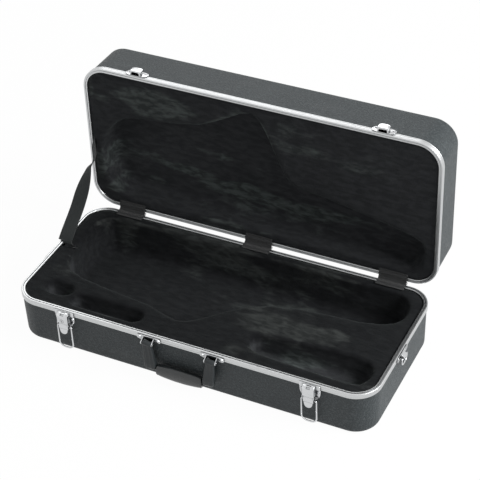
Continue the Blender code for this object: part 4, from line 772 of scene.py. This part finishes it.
def tube(bm, path, radius, sides=16, closed=False, up=Vector((0, 1, 0))):
    """A round wire along a path in a plane square to up."""
    rings = []
    count = len(path)
    for i, point in enumerate(path):
        before = path[i - 1] if i or closed else point
        after = path[(i + 1) % count] if i + 1 < count or closed else point
        along = (after - before).normalized()
        side = along.cross(up).normalized()
        turns = [2 * math.pi * k / sides for k in range(sides)]
        rings.append([point + radius * (math.cos(t) * side + math.sin(t) * up) for t in turns])
    skin(bm, rings, closed_along=closed)


def bend(corner, before, after, radius, steps):
    """Rounds one corner of a wire's path."""
    a, b = (before - corner).normalized(), (after - corner).normalized()
    angle = a.angle(b)
    reach = radius / math.tan(angle / 2)
    centre = corner + (a + b).normalized() * (radius / math.sin(angle / 2))
    first, last = corner + a * reach - centre, corner + b * reach - centre
    sweep = first.angle(last)
    found = []
    for i in range(steps + 1):
        t = i / steps
        found.append(centre + (math.sin((1 - t) * sweep) * first + math.sin(t * sweep) * last) / math.sin(sweep))
    return found


# Trays, valances and plush

tray_piece("base_tray", False, "base", "base_shell")
tray_piece("lid_tray", True, "lid", "lid_shell")
valance_piece("base_rim", False, "base", "base_valance")
valance_piece("lid_rim", True, "lid", "lid_valance")
plush_piece("base_plush", False, "base", "base_foam", ["base_lining", "base_foam"])
plush_piece("lid_plush", True, "lid", "lid_foam", ["lid_lining", "lid_foam"])

# Pressed hardware

for cad in sorted(NODES):
    if cad.startswith(("latch_plate", "latch_lever", "keeper", "handle_bracket", "handle_pin", "ring_bracket", "lock")):
        refined(cad, "chrome")
    elif cad.startswith(("hinge_leaf", "hinge_pin", "latch_pin", "strap_rivet")):
        refined(cad, "steel", bevel=0.00018)


def bail(side_name, side):
    """The latch's bail, hooked inwards through the lever's arms."""
    y = -HALF_WIDTH - 0.0050
    top, half, inner = PARTING - 0.031, 0.013, 0.0070
    foot = top - 0.0462

    def at(x, z):
        return Vector((side + x, y, z))

    ends = [at(-inner, top), at(inner, top)]
    corners = [at(-half, top), at(-half, foot), at(half, foot), at(half, top)]
    path = [ends[0]]
    path += bend(corners[0], ends[0], corners[1], 0.002, 8)
    path += bend(corners[1], corners[0], corners[2], 0.0100, 16)
    path += bend(corners[2], corners[1], corners[3], 0.0100, 16)
    path += bend(corners[3], corners[2], ends[1], 0.002, 8)
    path.append(ends[1])
    bm = bmesh.new()
    tube(bm, path, 0.0014)
    piece("bail_wire_" + side_name, bm, "chrome", "bail_" + side_name, ["latch_bail_" + side_name], angle=50)


for side_name, side in (("left", -0.222), ("right", 0.222)):
    bail(side_name, side)


def ring(wall):
    """The D ring in its knuckle."""
    sign = 1 if wall == "right" else -1
    x = sign * (HALF_LENGTH + 0.0048)
    top, half, centre = PARTING - 0.0105, 0.0105, -0.014
    foot = top - 0.0125
    corners = [Vector((x, centre - half, top)), Vector((x, centre - half, foot)), Vector((x, centre + half, foot)),
               Vector((x, centre + half, top))]
    path = []
    for i, radius in enumerate((0.0022, 0.0065, 0.0065, 0.0022)):
        path += bend(corners[i], corners[i - 1], corners[(i + 1) % 4], radius, 10)
    bm = bmesh.new()
    tube(bm, path, 0.0014, closed=True, up=Vector((1, 0, 0)))
    piece("d_ring_" + wall, bm, "chrome", "ring_" + wall, ["strap_ring_" + wall], angle=50)


ring("left")
ring("right")


def superellipse(cx, cy, half_x, half_y, power, steps):
    points = []
    for i in range(steps):
        a = 2 * math.pi * (i + 0.5) / steps
        c, s = math.cos(a), math.sin(a)
        points.append((cx + half_x * math.copysign(abs(c) ** power, c), cy + half_y * math.copysign(abs(s) ** power, s)))
    return points


HANDLE_PLACE = -0.0055


def grip_piece():
    """The padded grip: fullest at its middle, with a welt along its underside and creases near its ends."""
    low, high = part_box("handle_grip")
    end = (high.x - low.x) / 2
    bm = bmesh.new()
    rings = []
    rows = 56
    for i in range(rows + 1):
        share = i / rows * 2 - 1
        full = 1 - 0.24 * share ** 2
        crease = 0.05 * math.exp(-((abs(share) - 0.90) / 0.022) ** 2)
        crease += 0.10 * max(0.0, (abs(share) - 0.97) / 0.03) ** 2
        z = PARTING - 0.0623 + 0.001 * share ** 2
        y = -HALF_WIDTH - 0.0082
        half_z, half_y = 0.01275 * full * (1 - crease), 0.00775 * (0.8 + 0.2 * full) * (1 - crease)
        ring = []
        for k, (py, pz) in enumerate(superellipse(y, z, half_y, half_z, 0.8, 48)):
            p = Vector((HANDLE_PLACE + share * end, py, pz))
            angle = 2 * math.pi * (k + 0.5) / 48
            welt = math.exp(-((angle - 1.5 * math.pi) / 0.10) ** 2)
            p.z += 0.0005 * welt
            swell = noise.noise(Vector((p.x * 60, angle * 1.3, 4.0))) * 0.00022
            ring.append(p + Vector((0, math.cos(angle) * swell, math.sin(angle) * swell)))
        rings.append(ring)
    skin(bm, rings)
    made = piece("grip_pad", bm, "grip", "handle", ["handle_grip"], angle=60)


def end_strap(side_name, hand):
    """A flat end: a loop round the pin, ribbed down its face, widening and leaning in towards the grip."""
    side = HANDLE_PLACE + hand * 0.0573
    y = -HALF_WIDTH - 0.0082
    top = PARTING - 0.0115
    drop = 0.050
    rows = [
        (0.0082, 0.0034, top + 0.0002), (0.0082, 0.0034, top - 0.008), (0.0090, 0.0037, top - drop * 0.32),
        (0.0095, 0.00515, top - drop * 0.58), (0.0105, 0.00675, top - drop * 0.76),
        (0.0105, 0.00675, top - drop * 0.93), (0.0085, 0.00475, top - drop),
    ]
    bm = bmesh.new()
    rings = []
    for (ha, oa, za), (hb, ob, zb) in zip(rows, rows[1:]):
        steps = 8
        for k in range(steps):
            t = k / steps
            rings.append((ha + (hb - ha) * t, oa + (ob - oa) * t, za + (zb - za) * t))
    rings.append(rows[-1])
    # ease the corners between the straight runs
    soft = rings[:1]
    for a, b, c in zip(rings, rings[1:], rings[2:]):
        soft.append(tuple((p + 2 * q + r) / 4 for p, q, r in zip(a, b, c)))
    soft.append(rings[-1])
    lofted = []
    for half, out, z in soft:
        centre = side - hand * 0.0053 * max(top - z, 0) / drop
        ring = []
        for px, py in superellipse(centre, y, half, out, 0.5, 64):
            across = (px - centre) / half
            front = max(0.0, -(py - y) / out)
            groove = sum(math.exp(-((across - g) / 0.060) ** 2) for g in (-0.62, 0.62))
            groove += 0.7 * sum(math.exp(-((across - g) / 0.055) ** 2) for g in (-0.22, 0.22))
            depth = 0.0007 * groove * front ** 2
            ring.append(Vector((px, py + depth, z)))
        lofted.append(ring)
    skin(bm, lofted)
    loop = []
    for x in (-0.0082, -0.0076, 0.0076, 0.0082):
        r = 0.0042 if abs(x) < 0.008 else 0.0038
        turns = [2 * math.pi * k / 32 for k in range(32)]
        loop.append([Vector((side + x, y + r * math.cos(t), top + r * math.sin(t))) for t in turns])
    skin(bm, loop)
    piece("end_strap_" + side_name, bm, "handle_end", "handle", ["handle_strap_" + side_name], angle=45)


grip_piece()
end_strap("left", -1)
end_strap("right", 1)


def ease(value, start, end):
    share = min(max((value - start) / (end - start), 0), 1)
    return share * share * (3 - 2 * share)


def stay_strap():
    """Webbing with thick selvedges, run a little past its anchor at each end."""
    x = -HALF_LENGTH + 0.0088
    start, finish = Vector((x, 0.0180, PARTING - 0.0153)), opened((x, 0.0150, PARTING + 0.0126))
    along = (finish - start).normalized()
    span = (finish - start).length
    flat = Vector((0, -along.z, along.y))
    half, end = 0.0140, 0.009
    bm = bmesh.new()
    rings = []
    rows = 110
    across_steps = [-1, -0.93, -0.86, -0.6, -0.3, 0, 0.3, 0.6, 0.86, 0.93, 1]
    for i in range(rows + 1):
        run = -end + (span + 2 * end) * i / rows
        turn = math.radians(82) * ease(run, 0.002, 0.016) * (1 - ease(run, span - 0.109, span))
        across = Matrix.Rotation(turn, 3, along) @ flat * half
        face = along.cross(across).normalized()
        reach = half * math.sin(turn)
        indoors = 1 - min(ease(run, 0.014, 0.023), ease(span - run, 0.034, 0.054))
        slack = 0.013 * ease(run, 0.0, 0.022) * (1 - ease(run, 0.022, 0.085))
        centre = start + along * run + Vector((reach * indoors, -slack, 0))
        top, bottom = [], []
        for s in across_steps:
            thick = 0.00075 if abs(s) > 0.8 else 0.00058
            cup = 0.0005 * (s * s) * math.sin(turn)
            spot = centre + across * s
            if spot.x < 0.0072 - HALF_LENGTH and run < span / 2:
                spot.z = max(spot.z, PARTING + 0.0014)
            top.append(spot + face * (thick + cup))
            bottom.append(spot - face * (thick - cup))
        rings.append(top + bottom[::-1])
    skin(bm, rings)
    strap = piece("stay_webbing", bm, "webbing", None, [], angle=50)
    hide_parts("stay_strap")
    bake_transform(strap)
    return strap


stay_strap()


def hinge_cover(side_name, along):
    """A cloth flap glued over a hinge, with turned edges."""
    edge = HALF_WIDTH - 0.0070
    lift = 0.00075
    base_face = PARTING - 0.0027 + 0.0011 + lift
    rim_top = PARTING + lift
    lid_rim, lid_face = 0.0002 - 0.0009 - 0.0003 - lift, 0.0027 - 0.0011 - lift
    path = [
        Vector((0, edge - 0.007, base_face)),
        Vector((0, edge - 0.0035, base_face + 0.0003)),
        Vector((0, edge - 0.0010, rim_top - 0.0003)),
        Vector((0, edge + 0.0010, rim_top)),
        Vector((0, HALF_WIDTH - 0.0014, rim_top)),
        Vector((0, HALF_WIDTH + 0.0006, rim_top + 0.0017)),
        opened((0, HALF_WIDTH - 0.0010, PARTING + lid_rim)),
        opened((0, edge + 0.0010, PARTING + lid_rim)),
        opened((0, edge - 0.0010, PARTING + lid_rim + 0.0003)),
        opened((0, edge - 0.0035, PARTING + lid_face)),
        opened((0, edge - 0.007, PARTING + lid_face)),
    ]
    fine = []
    for i in range(len(path) - 1):
        p0, p1, p2, p3 = path[max(i - 1, 0)], path[i], path[i + 1], path[min(i + 2, len(path) - 1)]
        for k in range(6):
            t = k / 6
            fine.append(0.5 * (2 * p1 + (p2 - p0) * t + (2 * p0 - 5 * p1 + 4 * p2 - p3) * t * t
                               + (3 * p1 - p0 - 3 * p2 + p3) * t ** 3))
    fine.append(path[-1])
    bm = bmesh.new()
    rings = []
    half = 0.025
    steps = 24
    for i, point in enumerate(fine):
        before, after = fine[max(i - 1, 0)], fine[min(i + 1, len(fine) - 1)]
        run = (after - before).normalized()
        out = Vector((0, -run.z, run.y))
        top, bottom = [], []
        for k in range(steps + 1):
            s = 2 * k / steps - 1
            hem = 0.00025 if abs(s) > 0.9 else 0.0
            pucker = 0.00035 * noise.noise(Vector((s * 4 + along * 30, i * 0.16, 2.0)))
            x = along + half * s
            top.append(point + Vector((x, 0, 0)) + out * (0.00045 + hem + pucker))
            bottom.append(point + Vector((x, 0, 0)) - out * 0.0004)
        rings.append(top + bottom[::-1])
    skin(bm, rings)
    flap = piece("hinge_flap_" + side_name, bm, "cover_cloth", None, [], angle=50)
    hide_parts("hinge_cover_" + side_name)
    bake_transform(flap)


for side_name, along in (("left", -0.248), ("center", 0.0), ("right", 0.248)):
    hinge_cover(side_name, along)


def seen_rays(tree):
    """1 for the rays that show the background: straight from the camera, off metal and through glass."""
    rays = node(tree, "ShaderNodeLightPath")
    straight, off_metal = rays.outputs["Is Camera Ray"], rays.outputs["Is Glossy Ray"]
    first = node(tree, "ShaderNodeMath", [(0, straight), (1, off_metal)], operation="MAXIMUM")
    last = node(tree, "ShaderNodeMath", [(0, first.outputs[0]), (1, rays.outputs["Is Transmission Ray"])])
    last.operation = "MAXIMUM"
    return last.outputs[0]


def stage():
    bm = bmesh.new()
    size, z = 6.0, -0.0004
    corners = [bm.verts.new((x, y, z)) for x, y in ((-size, -size), (size, -size), (size, size), (-size, size))]
    bm.faces.new(corners)
    mesh = bpy.data.meshes.new("studio_floor")
    bm.to_mesh(mesh)
    bm.free()
    floor = bpy.data.objects.new("studio_floor", mesh)
    bpy.context.scene.collection.objects.link(floor)
    paint = bpy.data.materials.new("studio_white")
    paint.use_nodes = True
    tree = paint.node_tree
    shader = tree.nodes["Principled BSDF"]
    shader.inputs["Base Color"].default_value = (0.82, 0.82, 0.82, 1)
    shader.inputs["Roughness"].default_value = 0.9
    glow = node(tree, "ShaderNodeEmission")
    glow.inputs["Strength"].default_value = 1.0
    share = node(tree, "ShaderNodeMath", [(0, seen_rays(tree))], operation="MULTIPLY", i1=0.97)
    both = node(tree, "ShaderNodeMixShader", [(0, share.outputs[0]), (1, shader.outputs[0]), (2, glow.outputs[0])])
    tree.links.new(both.outputs[0], tree.nodes["Material Output"].inputs["Surface"])
    mesh.materials.append(paint)


def area(name, place_at, target, size, power, colour=(1, 1, 1)):
    data = bpy.data.lights.new(name, "AREA")
    data.shape = "RECTANGLE"
    data.size, data.size_y = size
    data.energy = power
    data.color = colour
    lamp = bpy.data.objects.new(name, data)
    lamp.location = place_at
    lamp.rotation_euler = (Vector(target) - Vector(place_at)).to_track_quat("-Z", "Y").to_euler()
    bpy.context.scene.collection.objects.link(lamp)


def lights():
    world = bpy.data.worlds.new("studio")
    bpy.context.scene.world = world
    world.use_nodes = True
    tree = world.node_tree
    sky = tree.nodes["Background"]
    sky.inputs[0].default_value = (1, 1, 1, 1)
    level = node(tree, "ShaderNodeMapRange", [(0, seen_rays(tree))], i1=0.0, i2=1.0, i3=0.385, i4=1.0)
    tree.links.new(level.outputs[0], sky.inputs[1])
    area("key", (2.4, 0.1, 1.7), (0, 0.05, 0.1), (1.6, 1.2), 120)
    area("back", (-1.1, 2.1, 1.9), (0, 0.1, 0.2), (1.8, 1.2), 14)
    area("fill", (-1.8, -1.4, 1.3), (0, 0, 0.1), (1.6, 1.2), 1)


def camera():
    """The photograph's camera, found from the case's rims and corners."""
    azimuth, elevation, roll = (math.radians(a) for a in (27.3381, 37.6453, -2.682))
    back = Vector((math.sin(azimuth) * math.cos(elevation), -math.cos(azimuth) * math.cos(elevation),
                   math.sin(elevation)))
    right = Vector((math.cos(azimuth), math.sin(azimuth), 0))
    up = back.cross(right)
    right, up = right * math.cos(roll) + up * math.sin(roll), up * math.cos(roll) - right * math.sin(roll)
    place_at = Vector((0, 0, 0.15)) + back * 2.6145 + right * 0.0325 + up * 0.0396
    data = bpy.data.cameras.new("photo_camera")
    data.sensor_width = 36
    data.sensor_fit = "HORIZONTAL"
    data.lens = 1592.39 / 480 * 36
    data.clip_end = 50
    made = bpy.data.objects.new("photo_camera", data)
    made.matrix_world = Matrix.Translation(place_at) @ Matrix((right, up, back)).transposed().to_4x4()
    bpy.context.scene.collection.objects.link(made)
    bpy.context.scene.camera = made


stage()
lights()
camera()
bpy.context.scene.view_settings.view_transform = "Standard"
